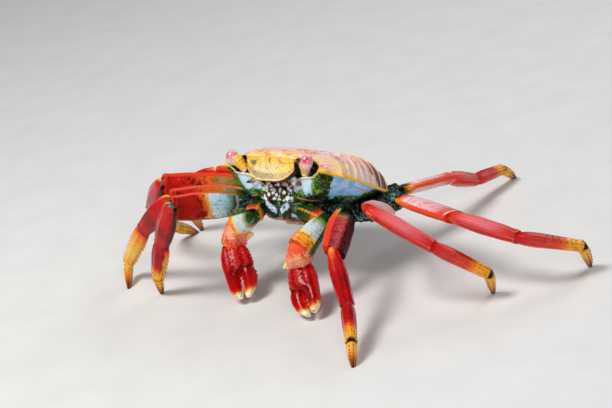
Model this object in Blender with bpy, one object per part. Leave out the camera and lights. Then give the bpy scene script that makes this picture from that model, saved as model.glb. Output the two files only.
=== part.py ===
"""A sally lightfoot crab, Grapsus grapsus, life size, standing on eight feet with its front raised.

The crab faces -Y, its left is +X and the floor is z = 0. Sizes are in millimetres until on_body and
the limb chains turn them into metres. Every node is one closed body, 0.3 mm clear of its neighbours.
"""
import math

import bmesh
import bpy
import numpy as np
from mathutils import Matrix, Vector

MM = 0.001
GAP = 0.36 * MM
WELD = 0.005 * MM
SIDES = {"left": 1, "right": -1}
MIRROR = np.array((-1.0, 1.0, 1.0))

# The body's place: the middle of the carapace, how far the front is raised, and the lean to one side
CARAPACE_CENTRE = Vector((-17.8, -8.9, 49.0)) * MM
NOSE_UP = math.radians(28.6)
LEAN = math.radians(0.8)
BODY_TURN = Matrix.Rotation(-NOSE_UP, 3, "X") @ Matrix.Rotation(LEAN, 3, "Y")

# The carapace in its own frame: left, fore and up from its middle
CARAPACE_WIDTH = 73.0
DOME_HEIGHT = 11.3
DOME_CENTRE = (0.0, -1.0)
DOME_FULLNESS = 4.5
RING_STEPS = 2

# Half outlines from the middle of the front to the middle of the rear, in shares of the half width
# for left and in millimetres for fore and up. The third value of a wall point is how far it bulges
MARGIN = (
    (0.00, 31.4, 5.6), (0.46, 30.6, 4.6), (0.72, 28.0, 0.8), (0.90, 20.0, -0.6), (0.985, 6.0, -2.2),
    (1.00, -4.0, -4.0), (0.96, -17.0, -5.2), (0.86, -28.6, -6.2), (0.54, -34.4, -6.8), (0.00, -35.6, -6.4),
)
HEM = (
    (0.00, 23.0, -15.0), (0.28, 22.6, -15.0), (0.41, 21.0, -14.6), (0.58, 14.5, -14.2),
    (0.76, 3.0, -13.6), (0.79, -6.0, -13.4), (0.76, -16.0, -12.8), (0.66, -24.6, -11.8),
    (0.44, -29.8, -11.2), (0.00, -31.4, -10.8),
)
WALL_BULGE = (-3.2, -2.6, 0.4, 2.4, 3.0, 2.6, 2.0, 1.4, 0.8, 0.6)
STERNUM_HALF_WIDTH = 15.0
STERNUM_FORE, STERNUM_REAR = 15.0, -23.0
STERNUM_UP_FORE, STERNUM_UP_REAR = -24.2, -18.0
HEM_CENTRE = (0.0, -4.0, -12.4)
BELLY_BULGE = 1.6
STERNUM_DISH = 1.4

# Front plate, orbits and eyes
PLATE_HALF_WIDTH = 14.4
PLATE_DEPTH = 12.4
PLATE_UNDERCUT = 0.7
PLATE_THICKNESS = 2.6
# How far the plate's middle stands before and above the margin's, and how far its ends fall back
PLATE_STAND = (0.3, 0.4)
PLATE_BOW = (1.2, 1.1)
PLATE_END_DEPTH_LOSS = 0.6
PLATE_ROUNDING = 3.2
PLATE_ROWS, PLATE_COLUMNS = 6, 13
ORBIT_CENTRE = (20.6, 31.0, 1.8)
ORBIT_RADII = (7.4, 8.0, 4.9)
EYE_CENTRES = {"left": (21.0, 29.8, 4.0), "right": (25.6, 28.6, 4.0)}
EYE_RADII = (3.2, 3.2, 4.2)
STALK_FOOT = (18.8, 25.0, -1.6)
STALK_WIDTHS = (4.0, 5.6, 5.2)
# Root, tip and width of the orbit's outer tooth and of the smaller tooth behind it
MARGIN_TEETH = (
    ((24.0, 24.5, -0.6), (27.6, 30.6, 0.4), 5.0),
    ((28.6, 17.0, -0.6), (32.6, 22.6, 0.2), 4.0),
)
FRONT_LOBES = ((4.9, 28.4, 5.4), (12.8, 27.6, 5.0))
LOBE_RADII = (3.9, 3.4, 2.1)

# Walking legs, front pair first: lengths of merus, carpus, propodus and dactyl, then their heights
LEG_LENGTHS = {
    1: (42.0, 27.0, 22.4, 12.4), 2: (46.9, 32.2, 28.7, 16.1),
    3: (50.4, 32.9, 31.5, 16.8), 4: (39.2, 21.7, 23.1, 13.3),
}
LEG_HEIGHTS = {
    1: (13.4, 11.4, 10.4, 5.6), 2: (14.0, 11.2, 9.4, 5.8),
    3: (13.4, 10.6, 9.0, 5.8), 4: (10.8, 8.8, 7.2, 5.0),
}
SEGMENT_THICKNESS = (6.0, 7.6, 6.4, 4.6)
LEG_ROOTS = {1: (32.2, 9.1, -18.0), 2: (43.0, -8.5, -14.0), 3: (44.5, -17.5, -8.3), 4: (35.5, -28.5, -4.0)}
HIP_STARTS = {
    1: (19.0, 9.0, -19.0), 2: (21.5, -2.6, -17.6), 3: (21.0, -13.0, -15.6), 4: (17.0, -22.0, -13.0),
}
HIP_SIZES = {1: (11.0, 8.2), 2: (11.0, 8.0), 3: (10.6, 7.6), 4: (9.4, 7.4)}

# Pose of each leg: heading and rise of merus, carpus and propodus with the lean of their crests to
# the rear, then the dactyl's heading, in degrees. Heading 0 is straight out and 90 straight ahead
LEG_POSE = {
    ("left", 1): ((65, -2.8, -45), (48, -43, -12), (56, -23, 5), 61),
    ("right", 1): ((73, 20, 5), (-11, -54, 0), (-10, -62, 0), -48),
    ("left", 2): ((61, 21, -45), (-9, -33, -45), (-33, -39, -45), -123),
    ("right", 2): ((72, 20, 5), (-8, -35, 0), (-8, -47, 0), 120),
    ("left", 3): ((26, 3, -75), (-2, -15, -50), (-47, -24, -50), -108),
    ("right", 3): ((50, 19, 0), (-30, -36, 0), (-71, -44, 0), -99),
    ("left", 4): ((-84, -14, -70), (-84, -26, -60), (-83, -9, -70), -83),
    ("right", 4): ((8, 9, -20), (1, -16, -10), (-26, -63, 0), -112),
}
FOOT_SINK = 0.7

# Claws: lengths of base, arm, wrist and chela, and their poses with the way each crest points
CLAW_LENGTHS = (10.5, 18.6, 11.8, 27.6)
CLAW_ROOT = (14.6, 19.0, -19.6)
CLAW_POSE = {
    "left": ((4, -18), (102, -22), (215, -62), (52, -36)),
    "right": ((115, 4), (-21, -25), (54, -62), (135, -45)),
}
CLAW_CREST = {"left": Vector((-0.86, -0.33, -0.40)), "right": Vector((0.77, 0.64, 0.0))}
ARM_CREST = {"left": Vector((0.70, 0.28, -0.64)), "right": Vector((0.0, 0.0, 1.0))}
BASE_CREST = Vector((0.0, 0.0, 1.0))
CLAW_SIZES = ((9.6, 9.0), (12.6, 11.0), (12.2, 11.8), (15.6, 9.6))
WRIST_SPINE_PLACE = 0.64
WRIST_SPINE_LENGTH = 3.8
WRIST_SPINE_WIDTH = 7.0

# Spines and teeth: the shares of a segment's length at which they stand, their length and width
PROPODUS_SPINES = ((0.35, 0.53, 0.7, 0.86), 1.1, 1.3)
DACTYL_SPINES = ((0.26, 0.46, 0.66), 1.0, 1.1)
MERUS_TEETH = ((0.9,), 2.2, 2.4)
ARM_TEETH = ((0.34, 0.48, 0.61, 0.73, 0.84), 1.5, 1.9)
SPINE_SINK = 0.5
SPINE_LEAN = 1.0

# Profiles along a limb: share of its length, then shares of its height and thickness, then its lift
# in shares of its height. Shares below 0 are the nose that sits inside the piece before it
HIP_PROFILE = (
    (0, 0.8, 0.8, 0), (0.4, 0.95, 1, 0), (0.75, 1, 1, 0), (0.95, 0.96, 0.92, 0), (1.04, 0.6, 0.6, 0),
)
MERUS_PROFILE = (
    (-0.07, 0.26, 0.42, 0), (-0.03, 0.48, 0.68, 0), (0.1, 0.78, 0.94, 0.01), (0.35, 1, 1, 0.03),
    (0.72, 1, 1, 0.02), (0.9, 0.9, 1, 0), (0.985, 0.82, 0.98, 0), (1.03, 0.5, 0.66, 0),
)
CARPUS_PROFILE = (
    (-0.085, 0.26, 0.38, 0), (-0.03, 0.48, 0.62, 0), (0.14, 0.8, 0.88, 0.03), (0.42, 1, 1, 0.03),
    (0.78, 0.88, 0.92, 0.01), (0.985, 0.68, 0.78, 0), (1.03, 0.42, 0.54, 0),
)
PROPODUS_PROFILE = (
    (-0.09, 0.3, 0.36, 0), (-0.03, 0.56, 0.64, 0), (0.12, 0.94, 0.95, 0.01), (0.3, 1, 1, 0.01),
    (0.86, 0.72, 0.84, 0), (0.975, 0.66, 0.78, 0), (1.03, 0.4, 0.48, 0),
)
DACTYL_PROFILE = (
    (-0.12, 0.32, 0.38, 0), (-0.03, 0.66, 0.7, 0), (0.2, 1, 1, 0.04), (0.6, 0.72, 0.74, 0.06),
    (0.84, 0.42, 0.44, 0.02), (1.0, 0.22, 0.26, -0.04),
)
BASE_PROFILE = (
    (-0.3, 0.6, 0.6, 0), (0, 0.9, 0.9, 0), (0.6, 1, 1, 0), (0.95, 0.94, 0.94, 0), (1.1, 0.6, 0.6, 0),
)
ARM_PROFILE = (
    (-0.16, 0.3, 0.34, 0), (-0.06, 0.46, 0.5, 0), (0.1, 0.6, 0.62, 0), (0.45, 0.8, 0.82, 0),
    (0.8, 1, 1, 0), (0.96, 0.96, 0.96, 0), (1.06, 0.66, 0.7, 0),
)
WRIST_PROFILE = (
    (-0.24, 0.28, 0.3, 0), (-0.12, 0.5, 0.52, 0), (0.06, 0.82, 0.86, 0), (0.3, 1, 1, 0.02),
    (0.7, 0.98, 1, 0.02), (0.95, 0.8, 0.86, 0), (1.08, 0.5, 0.56, 0),
)
PALM_PROFILE = (
    (-0.1, 0.26, 0.34, 0), (-0.05, 0.42, 0.54, 0), (0.03, 0.64, 0.76, 0), (0.16, 0.9, 0.96, 0),
    (0.34, 1, 1, 0), (0.47, 0.98, 0.98, 0), (0.53, 0.7, 0.9, -0.14), (0.6, 0.46, 0.78, -0.25),
    (0.8, 0.4, 0.66, -0.27), (0.93, 0.31, 0.58, -0.22), (1.0, 0.2, 0.42, -0.18),
)
FINGER_PROFILE = (
    (0.4, 0.24, 0.42, 0.2), (0.46, 0.38, 0.62, 0.23), (0.58, 0.47, 0.7, 0.27), (0.7, 0.46, 0.68, 0.27),
    (0.84, 0.38, 0.62, 0.22), (0.94, 0.29, 0.56, 0.13), (1.01, 0.18, 0.4, 0.07),
)
ANTENNA_POINTS = ((12.6, 21.0, -5.6), (13.4, 24.6, -6.2), (14.2, 26.8, -6.6), (15.4, 28.8, -7.4))
ANTENNA_WIDTHS = (2.8, 2.6, 1.8, 0.8)
MAXILLIPED_TOP, MAXILLIPED_FOOT = (4.6, 23.4, -9.6), (4.0, 18.6, -23.0)
MAXILLIPED_SIZE = (7.0, 3.6)
MAXILLIPED_PROFILE = (
    (0, 0.5, 0.6, 0), (0.08, 0.86, 0.9, 0), (0.3, 1, 1, 0), (0.7, 0.92, 1, 0), (1.0, 0.6, 0.7, 0),
)
# Fore, up and half width along the tail flap
ABDOMEN_STATIONS = (
    (-32.2, -12.6, 9.0), (-26.5, -17.0, 11.6), (-17.0, -20.6, 10.6), (-6.0, -23.2, 8.6), (4.0, -24.4, 6.2),
    (11.0, -24.6, 3.4),
)
ABDOMEN_THICKNESS = 2.4


def collection(name):
    """A collection of that name, linked to the scene."""
    made = bpy.data.collections.new(name)
    bpy.context.scene.collection.children.link(made)
    return made


def shell_material(name, colour, roughness=0.32):
    """A glossy shell colour."""
    material = bpy.data.materials.new(name)
    material.use_nodes = True
    shader = material.node_tree.nodes["Principled BSDF"]
    shader.inputs["Base Color"].default_value = (*colour, 1)
    shader.inputs["Roughness"].default_value = roughness
    shader.inputs["Metallic"].default_value = 0.0
    return material


def on_body(left, fore, up):
    """A point of the body's own frame, in millimetres, placed in the world, in metres."""
    return CARAPACE_CENTRE + BODY_TURN @ (Vector((left, -fore, up)) * MM)


def closed_curve(half, mirror):
    """A smooth closed curve from one half of it: Catmull-Rom through the points and their mirror images."""
    half = np.array(half, float).reshape(len(half), -1)
    points = np.vstack([half, half[-2:0:-1] * mirror])
    before, after, beyond = np.roll(points, 1, 0), np.roll(points, -1, 0), np.roll(points, -2, 0)
    curve = []
    for b, a, c, d in zip(points, before, after, beyond):
        for t in np.arange(RING_STEPS) / RING_STEPS:
            square = 2 * a - 5 * b + 4 * c - d
            cube = 3 * b - a - 3 * c + d
            curve.append((2 * b + (c - a) * t + square * t ** 2 + cube * t ** 3) / 2)
    return np.array(curve)


def loft(rings):
    """A closed mesh through rings of points with equal counts. A ring of one point is a pole."""
    bm = bmesh.new()
    loops = [[bm.verts.new(p) for p in ring] for ring in rings]
    for lower, upper in zip(loops, loops[1:]):
        count = max(len(lower), len(upper))
        for i in range(count):
            j = (i + 1) % count
            corners = [loop[k % len(loop)] for loop, k in ((lower, i), (lower, j), (upper, j), (upper, i))]
            bm.faces.new(dict.fromkeys(corners))
    for loop in (loops[0], loops[-1]):
        if len(loop) > 1:
            bm.faces.new(loop)
    bmesh.ops.triangulate(bm, faces=bm.faces)
    bmesh.ops.recalc_face_normals(bm, faces=bm.faces)
    mesh = bpy.data.meshes.new("loft")
    bm.to_mesh(mesh)
    bm.free()
    return mesh


def sweep(path, sizes, crest, grow=0.0, sides=8, fullness=2.3, crest_taper=0.25):
    """A closed mesh of oval sections along a path. Heights run along the crest, thicknesses across it."""
    rings = []
    last = len(path) - 1
    for index, (point, (height, thickness)) in enumerate(zip(path, sizes)):
        axis = (path[min(index + 1, last)] - path[max(index - 1, 0)]).normalized()
        across = axis.cross(crest).normalized()
        rise = across.cross(axis)
        centre = point + axis * grow * ((index == last) - (index == 0))
        ring = []
        for turn in np.arange(sides) * 2 * math.pi / sides:
            c, s = math.cos(turn), math.sin(turn)
            x = math.copysign(abs(c) ** (2 / fullness), c) * (1 - crest_taper * max(0.0, s))
            y = math.copysign(abs(s) ** (2 / fullness), s)
            ring.append(centre + across * x * (thickness / 2 + grow) + rise * y * (height / 2 + grow))
        rings.append(ring)
    return loft(rings)


def segment(start, end, crest, profile, height, thickness, grow=0.0, **shape):
    """A limb segment between two points in metres, by a profile of shares and sizes in millimetres."""
    axis = end - start
    across = axis.cross(crest).normalized()
    rise = across.cross(axis).normalized()
    path = [start + axis * along + rise * lift * height * MM for along, _, _, lift in profile]
    sizes = [(tall * height * MM, thick * thickness * MM) for _, tall, thick, _ in profile]
    return sweep(path, sizes, crest, grow, **shape)


def spine(start, end, width, tip=0.25, sides=3):
    """A tapered spine or tooth with a small blunt tip, between two points in metres."""
    sizes = [(width * share * MM,) * 2 for share in (1.0, tip)]
    return sweep([start, end], sizes, (end - start).orthogonal(), sides=sides, fullness=2, crest_taper=0)


def edge_spines(start, end, crest, profile, height, edge, shares, length, width):
    """Spines along a segment's upper (1) or lower (-1) edge, leaning towards its end."""
    axis = end - start
    rise = axis.cross(crest).normalized().cross(axis).normalized() * edge
    along, tall, _, lift = zip(*profile)
    spines = []
    for share in shares:
        reach = np.interp(share, along, tall) / 2 + np.interp(share, along, lift) * edge
        edge_point = start + axis * share + rise * reach * height * MM
        tip = edge_point + (rise + axis.normalized() * SPINE_LEAN) * length * MM
        spines.append(spine(edge_point - rise * SPINE_SINK * MM, tip, width))
    return spines


def ellipsoid(centre, radii, turn=BODY_TURN, segments=12, rings=8):
    """A closed ball of three radii in millimetres, turned as the body is."""
    bm = bmesh.new()
    bmesh.ops.create_uvsphere(bm, u_segments=segments, v_segments=rings, radius=1)
    scale = Matrix.Diagonal(Vector((radii[0], radii[1], radii[2]))) * MM
    bmesh.ops.transform(bm, matrix=(turn @ scale).to_4x4(), verts=bm.verts)
    bmesh.ops.translate(bm, vec=centre, verts=bm.verts)
    bmesh.ops.triangulate(bm, faces=bm.faces)
    mesh = bpy.data.meshes.new("ellipsoid")
    bm.to_mesh(mesh)
    bm.free()
    return mesh


def add(name, mesh, material):
    """A node of the crab."""
    node = bpy.data.objects.new(name, mesh)
    node.data.name = name
    node.data.materials.append(material)
    crab.objects.link(node)
    return node


def enclosed(faces):
    """Six times the signed volume inside closed triangles."""
    return sum(f.verts[0].co.dot(f.verts[1].co.cross(f.verts[2].co)) for f in faces)


def keep_largest(mesh):
    """Welds a cut mesh's slivers and leaves it only its largest closed surface."""
    bm = bmesh.new()
    bm.from_mesh(mesh)
    bmesh.ops.remove_doubles(bm, verts=bm.verts, dist=WELD)
    bmesh.ops.dissolve_degenerate(bm, edges=bm.edges, dist=WELD)
    bmesh.ops.triangulate(bm, faces=bm.faces)
    islands, left = [], set(bm.faces)
    while left:
        stack, island = [left.pop()], []
        while stack:
            face = stack.pop()
            island.append(face)
            near = {other for edge in face.edges for other in edge.link_faces} & left
            left -= near
            stack.extend(near)
        islands.append(island)
    largest = max(islands, key=enclosed)
    scraps = [face for island in islands if island is not largest for face in island]
    bmesh.ops.delete(bm, geom=scraps, context="FACES")
    bm.to_mesh(mesh)
    bm.free()


def combine(node, meshes, operation):
    """Unites closed meshes with a node, or cuts them from it, in one Boolean."""
    tools = bpy.data.collections.new("tools")
    cutters.children.link(tools)
    for mesh in meshes:
        tool = bpy.data.objects.new("tool", mesh)
        tool.hide_render = True
        tool.display_type = "WIRE"
        tools.objects.link(tool)
    boolean = node.modifiers.new("boolean", "BOOLEAN")
    boolean.operation = operation
    boolean.operand_type = "COLLECTION"
    boolean.collection = tools
    boolean.solver = "EXACT"
    graph = bpy.context.evaluated_depsgraph_get()
    mesh = bpy.data.meshes.new_from_object(node.evaluated_get(graph))
    node.modifiers.clear()
    keep_largest(mesh)
    node.data = mesh
    for tool in list(tools.objects):
        bpy.data.objects.remove(tool)
    bpy.data.collections.remove(tools)


def heading(side, degrees, rise):
    """A unit vector by its heading from straight out to the side and its rise, in degrees."""
    turn, climb = math.radians(degrees), math.radians(rise)
    out = math.cos(turn) * math.cos(climb)
    return Vector((out * SIDES[side], -math.sin(turn) * math.cos(climb), math.sin(climb)))


def on_side(side, point):
    """A named point of the left half, placed in the world on either side of the body."""
    left, fore, up = point
    return on_body(left * SIDES[side], fore, up)


def outline(points):
    """The whole ring of a half outline whose lefts are shares of the half width, in millimetres."""
    return closed_curve(points, MIRROR) * (CARAPACE_WIDTH / 2, 1, 1)


def dome_ring(share):
    """A ring of the carapace's dome: 0 is its crown and 1 its margin."""
    ring = outline(MARGIN)
    centre = np.array(DOME_CENTRE)
    plan = centre + (ring[:, :2] - centre) * share
    up = ring[:, 2] + (DOME_HEIGHT - ring[:, 2]) * (1 - share ** DOME_FULLNESS)
    return [on_body(*p, u) for p, u in zip(plan, up)]


def wall_ring(share):
    """A ring of the side wall: 0 is the margin and 1 the hem above the legs."""
    margin, hem = outline(MARGIN), outline(HEM)
    ring = margin + (hem - margin) * share
    away = hem[:, :2] / np.linalg.norm(hem[:, :2], axis=1)[:, None]
    ring[:, :2] += away * closed_curve(WALL_BULGE, 1) * math.sin(math.pi * share) ** 0.8
    return [on_body(*p) for p in ring]


def belly_ring(share):
    """A ring of the thorax: 0 is the hem and 1 the edge of the flat sternum."""
    hem = outline(HEM)
    middle, reach = (STERNUM_FORE + STERNUM_REAR) / 2, (STERNUM_FORE - STERNUM_REAR) / 2
    turn = np.arctan2(hem[:, 0], hem[:, 1] - middle)
    fore = middle + reach * np.cos(turn)
    rear_share = (STERNUM_FORE - fore) / (2 * reach)
    up = STERNUM_UP_FORE + (STERNUM_UP_REAR - STERNUM_UP_FORE) * rear_share ** 2
    sternum = np.column_stack([STERNUM_HALF_WIDTH * np.sin(turn), fore, up])
    ring = hem + (sternum - hem) * share
    ring[:, 2] -= BELLY_BULGE * math.sin(math.pi * share) + GAP / MM * (1 - share)
    return [on_body(*p) for p in ring]


def make_carapace():
    """The shell's dome and side walls, closed underneath at the hem."""
    rings = [[on_body(*DOME_CENTRE, DOME_HEIGHT)]]
    rings += [dome_ring(share) for share in (0.25, 0.48, 0.66, 0.8, 0.89, 0.955, 1.0)]
    rings += [wall_ring(share) for share in (0.1, 0.3, 0.55, 0.8, 1.0)]
    rings.append([on_body(*HEM_CENTRE)])
    return add("carapace", loft(rings), SHELL_RED)


def make_thorax():
    """The body's underside between the legs, closed at the hem."""
    rings = [[on_body(*HEM_CENTRE) - BODY_TURN @ Vector((0, 0, GAP))]]
    rings += [belly_ring(share) for share in (0.0, 0.35, 0.7, 1.0)]
    rings.append([on_body(0, (STERNUM_FORE + STERNUM_REAR) / 2, STERNUM_UP_FORE + STERNUM_DISH)])
    return add("thorax", loft(rings), BELLY)


def front_plate():
    """The steep plate between the eyes, curved across and tucked in below."""
    rows = np.linspace(0, 1, PLATE_ROWS)
    columns = np.linspace(-1, 1, PLATE_COLUMNS)
    bm = bmesh.new()
    grid = []
    for row in rows:
        line = []
        for column in columns:
            bow = column ** 2
            left = column * PLATE_HALF_WIDTH
            depth = PLATE_DEPTH * row * (1 - PLATE_END_DEPTH_LOSS * abs(column) ** PLATE_ROUNDING)
            fore = MARGIN[0][1] + PLATE_STAND[0] - PLATE_UNDERCUT * row - PLATE_BOW[0] * bow
            up = MARGIN[0][2] + PLATE_STAND[1] - depth - PLATE_BOW[1] * bow
            line.append(bm.verts.new(on_body(left, fore, up)))
        grid.append(line)
    for upper, lower in zip(grid, grid[1:]):
        for i in range(len(columns) - 1):
            bm.faces.new((upper[i], lower[i], lower[i + 1], upper[i + 1]))
    back = BODY_TURN @ Vector((0, PLATE_THICKNESS * MM, 0.0))
    shell = bmesh.ops.extrude_face_region(bm, geom=bm.faces[:])
    behind = [v for v in shell["geom"] if isinstance(v, bmesh.types.BMVert)]
    bmesh.ops.translate(bm, vec=back, verts=behind)
    bmesh.ops.recalc_face_normals(bm, faces=bm.faces)
    bmesh.ops.triangulate(bm, faces=bm.faces)
    mesh = bpy.data.meshes.new("front plate")
    bm.to_mesh(mesh)
    bm.free()
    return mesh


def margin_teeth():
    """The outer tooth of each orbit and the smaller tooth behind it."""
    teeth = []
    for side in SIDES:
        for root, tip, width in MARGIN_TEETH:
            teeth.append(spine(on_side(side, root), on_side(side, tip), width, sides=6))
    return teeth


def front_lobes():
    """The four low lobes along the carapace's front edge."""
    places = [on_side(side, lobe) for side in SIDES for lobe in FRONT_LOBES]
    return [ellipsoid(place, LOBE_RADII, segments=10, rings=6) for place in places]


def make_eye(side, grow=0.0):
    """The bulb and the stalk of one eye, which are joined as one closed body."""
    foot, centre = on_side(side, STALK_FOOT), on_side(side, EYE_CENTRES[side])
    bulb = ellipsoid(centre, [radius + grow / MM for radius in EYE_RADII])
    path = [foot.lerp(centre, share) for share in (0.0, 0.4, 0.75)]
    sizes = [(width * MM,) * 2 for width in STALK_WIDTHS]
    stalk = sweep(path, sizes, BODY_TURN @ Vector((0, 0, 1)), grow, fullness=2, crest_taper=0)
    return bulb, stalk


def make_maxilliped(side, grow=0.0):
    """The outer mouthpart of one side, a rounded plate over half of the mouth."""
    start, end = on_side(side, MAXILLIPED_TOP), on_side(side, MAXILLIPED_FOOT)
    across = BODY_TURN @ Vector((1, 0, 0))
    return segment(start, end, across, MAXILLIPED_PROFILE, *MAXILLIPED_SIZE, grow=grow, crest_taper=0)


def make_antenna(side, grow=0.0):
    """The jointed base of one antenna and its short whip."""
    points = [on_side(side, p) for p in ANTENNA_POINTS]
    sizes = [(width * MM, width * MM) for width in ANTENNA_WIDTHS]
    return sweep(points, sizes, BODY_TURN @ Vector((0, 0, 1)), grow, sides=8, fullness=2, crest_taper=0)


def make_abdomen(grow=0.0):
    """The tail flap, folded under the thorax in its shallow groove."""
    path = [on_body(0, fore, up) for fore, up, _ in ABDOMEN_STATIONS]
    sizes = [(2 * half * MM, ABDOMEN_THICKNESS * MM) for _, _, half in ABDOMEN_STATIONS]
    return sweep(path, sizes, BODY_TURN @ Vector((1, 0, 0)), grow, fullness=3.4, crest_taper=0)


def chain(start, side, poses, lengths):
    """The joints of a limb, from its root on, in metres."""
    joints = [start]
    for (turn, rise), length in zip(poses, lengths):
        joints.append(joints[-1] + heading(side, turn, rise) * length * MM)
    return joints


def leg_crest(side, turn, lean):
    """The way a leg's crests point: up, leaning towards the rear by so many degrees."""
    ahead = math.radians(turn)
    forward = Vector((-math.sin(ahead) * SIDES[side], -math.cos(ahead), 0))
    lean = math.radians(lean)
    return Vector((0, 0, math.cos(lean))) - forward * math.sin(lean)


def make_limb(prefix, names, joints, crests, profiles, sizes, materials, shapes, extras):
    """A limb's segments as nodes, each joined with its extras and cut clear of what enters its end."""
    nodes, grown = [], []
    for index, name in enumerate(names):
        made = [
            segment(joints[index], joints[index + 1], crests[index], profiles[index], *sizes[index],
                    grow=grow, **shapes[index])
            for grow in (0.0, GAP)
        ]
        nodes.append(add(f"{prefix}_{name}", made[0], materials[index]))
        grown.append(made[1])
        if name in extras:
            combine(nodes[-1], extras[name], "UNION")
    for node, entering in zip(nodes, grown[1:]):
        combine(node, [entering], "DIFFERENCE")
    return nodes, grown[0]


def make_leg(side, number):
    """One walking leg: hip, merus, carpus, propodus and dactyl, ending in a small flat on the floor."""
    *poses, dactyl_turn = LEG_POSE[side, number]
    start = on_side(side, HIP_STARTS[number])
    root = on_side(side, LEG_ROOTS[number])
    joints = [start] + chain(root, side, [pose[:2] for pose in poses], LEG_LENGTHS[number])
    # The dactyl's rise is what brings its tip just under the floor, where it is cut flat
    length = LEG_LENGTHS[number][3] * MM
    rise = -math.degrees(math.asin((joints[-1].z + FOOT_SINK * MM) / length))
    joints.append(joints[-1] + heading(side, dactyl_turn, rise) * length)
    merus, carpus, propodus = [leg_crest(side, turn, lean) for turn, _, lean in poses]
    crests = (leg_crest(side, poses[0][0], 0), merus, carpus, propodus, propodus)
    sizes = [HIP_SIZES[number]] + list(zip(LEG_HEIGHTS[number], SEGMENT_THICKNESS))
    names = ("hip", "merus", "carpus", "propodus", "dactyl")
    profiles = (HIP_PROFILE, MERUS_PROFILE, CARPUS_PROFILE, PROPODUS_PROFILE, DACTYL_PROFILE)
    materials = (BELLY, SHELL_RED, SHELL_RED, SHELL_ORANGE, SHELL_ORANGE)
    shapes = ({}, {"sides": 10}, {}, {}, {})
    rows = (("merus", -1, MERUS_TEETH), ("propodus", -1, PROPODUS_SPINES), ("propodus", 1, PROPODUS_SPINES),
            ("dactyl", -1, DACTYL_SPINES), ("dactyl", 1, DACTYL_SPINES))
    extras = {}
    for name, edge, row in rows:
        at = names.index(name)
        place = (joints[at], joints[at + 1], crests[at], profiles[at], sizes[at][0])
        extras.setdefault(name, []).extend(edge_spines(*place, edge, *row))
    nodes, grown = make_limb(
        f"leg_{side}_{number}", names, joints, crests, profiles, sizes, materials, shapes, extras)
    cut_at_floor(nodes[-1])
    return grown


def cut_at_floor(node):
    """Ends a foot in a small flat at z = 0."""
    bm = bmesh.new()
    bm.from_mesh(node.data)
    whole = bm.verts[:] + bm.edges[:] + bm.faces[:]
    cut = bmesh.ops.bisect_plane(bm, geom=whole, plane_co=(0, 0, 0), plane_no=(0, 0, -1), clear_outer=True)
    rim = [e for e in cut["geom_cut"] if isinstance(e, bmesh.types.BMEdge)]
    bmesh.ops.contextual_create(bm, geom=rim)
    bmesh.ops.triangulate(bm, faces=bm.faces)
    bmesh.ops.recalc_face_normals(bm, faces=bm.faces)
    bm.to_mesh(node.data)
    bm.free()


def make_claw(side):
    """One claw: base, arm, wrist with its inner spine, palm with the fixed finger, and movable finger."""
    joints = chain(on_side(side, CLAW_ROOT), side, CLAW_POSE[side], CLAW_LENGTHS)
    crest = CLAW_CREST[side]
    crests = (BASE_CREST, ARM_CREST[side], crest, crest, crest)
    names = ("base", "arm", "wrist", "palm", "finger")
    profiles = (BASE_PROFILE, ARM_PROFILE, WRIST_PROFILE, PALM_PROFILE)
    materials = (BELLY, SHELL_PALE, SHELL_RED, SHELL_RED)
    middle = joints[2].lerp(joints[3], WRIST_SPINE_PLACE)
    tip = middle + crest * (CLAW_SIZES[2][0] / 2 + WRIST_SPINE_LENGTH) * MM
    teeth = edge_spines(joints[1], joints[2], crests[1], ARM_PROFILE, CLAW_SIZES[1][0], 1, *ARM_TEETH)
    extras = {"arm": teeth, "wrist": [spine(middle, tip, WRIST_SPINE_WIDTH, sides=6)]}
    shapes = ({}, {"sides": 12}, {"sides": 12}, {"sides": 12})
    nodes, grown = make_limb(
        f"claw_{side}", names[:4], joints[:5], crests, profiles, CLAW_SIZES, materials, shapes, extras)
    finger = [
        segment(joints[3], joints[4], crest, FINGER_PROFILE, *CLAW_SIZES[3], grow=grow)
        for grow in (0.0, GAP)
    ]
    combine(nodes[3], [finger[1]], "DIFFERENCE")
    add(f"claw_{side}_finger", finger[0], SHELL_RED)
    return grown


for leftover in list(bpy.data.objects):
    bpy.data.objects.remove(leftover)
crab = collection("sally lightfoot crab")
cutters = collection("cutters")
SHELL_RED = shell_material("red shell", (0.62, 0.04, 0.03))
SHELL_ORANGE = shell_material("orange shell", (0.78, 0.20, 0.03))
SHELL_PALE = shell_material("pale shell", (0.62, 0.72, 0.74))
BELLY = shell_material("dark blue-green underside", (0.05, 0.12, 0.12))
EYE = shell_material("pink eye", (0.75, 0.25, 0.28), 0.1)

carapace = make_carapace()
thorax = make_thorax()
combine(carapace, [front_plate()] + margin_teeth() + front_lobes(), "UNION")
orbits = [ellipsoid(on_side(side, ORBIT_CENTRE), ORBIT_RADII) for side in SIDES]
combine(carapace, orbits, "DIFFERENCE")

sockets = [make_leg(side, number) for side in SIDES for number in LEG_LENGTHS]
sockets += [make_claw(side) for side in SIDES]
sockets += [make_abdomen(GAP)]
for side in SIDES:
    mouthpart = add(f"maxilliped_{side}", make_maxilliped(side), SHELL_PALE)
    sockets.append(make_maxilliped(side, GAP))
    add(f"antenna_{side}", make_antenna(side), SHELL_ORANGE)
    sockets.append(make_antenna(side, GAP))
    bulb, stalk = make_eye(side)
    combine(add(f"eye_{side}", stalk, EYE), [bulb], "UNION")
    sockets += make_eye(side, GAP)
add("abdomen", make_abdomen(), SHELL_PALE)
combine(carapace, [mesh.copy() for mesh in sockets], "DIFFERENCE")
combine(thorax, sockets, "DIFFERENCE")
bpy.data.collections.remove(cutters)
for node in crab.objects:
    node.data.shade_smooth()
    node.data.set_sharp_from_angle(angle=math.radians(40))
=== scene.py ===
import math

import bmesh
import bpy
import numpy as np
from mathutils import Matrix, Vector


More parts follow.
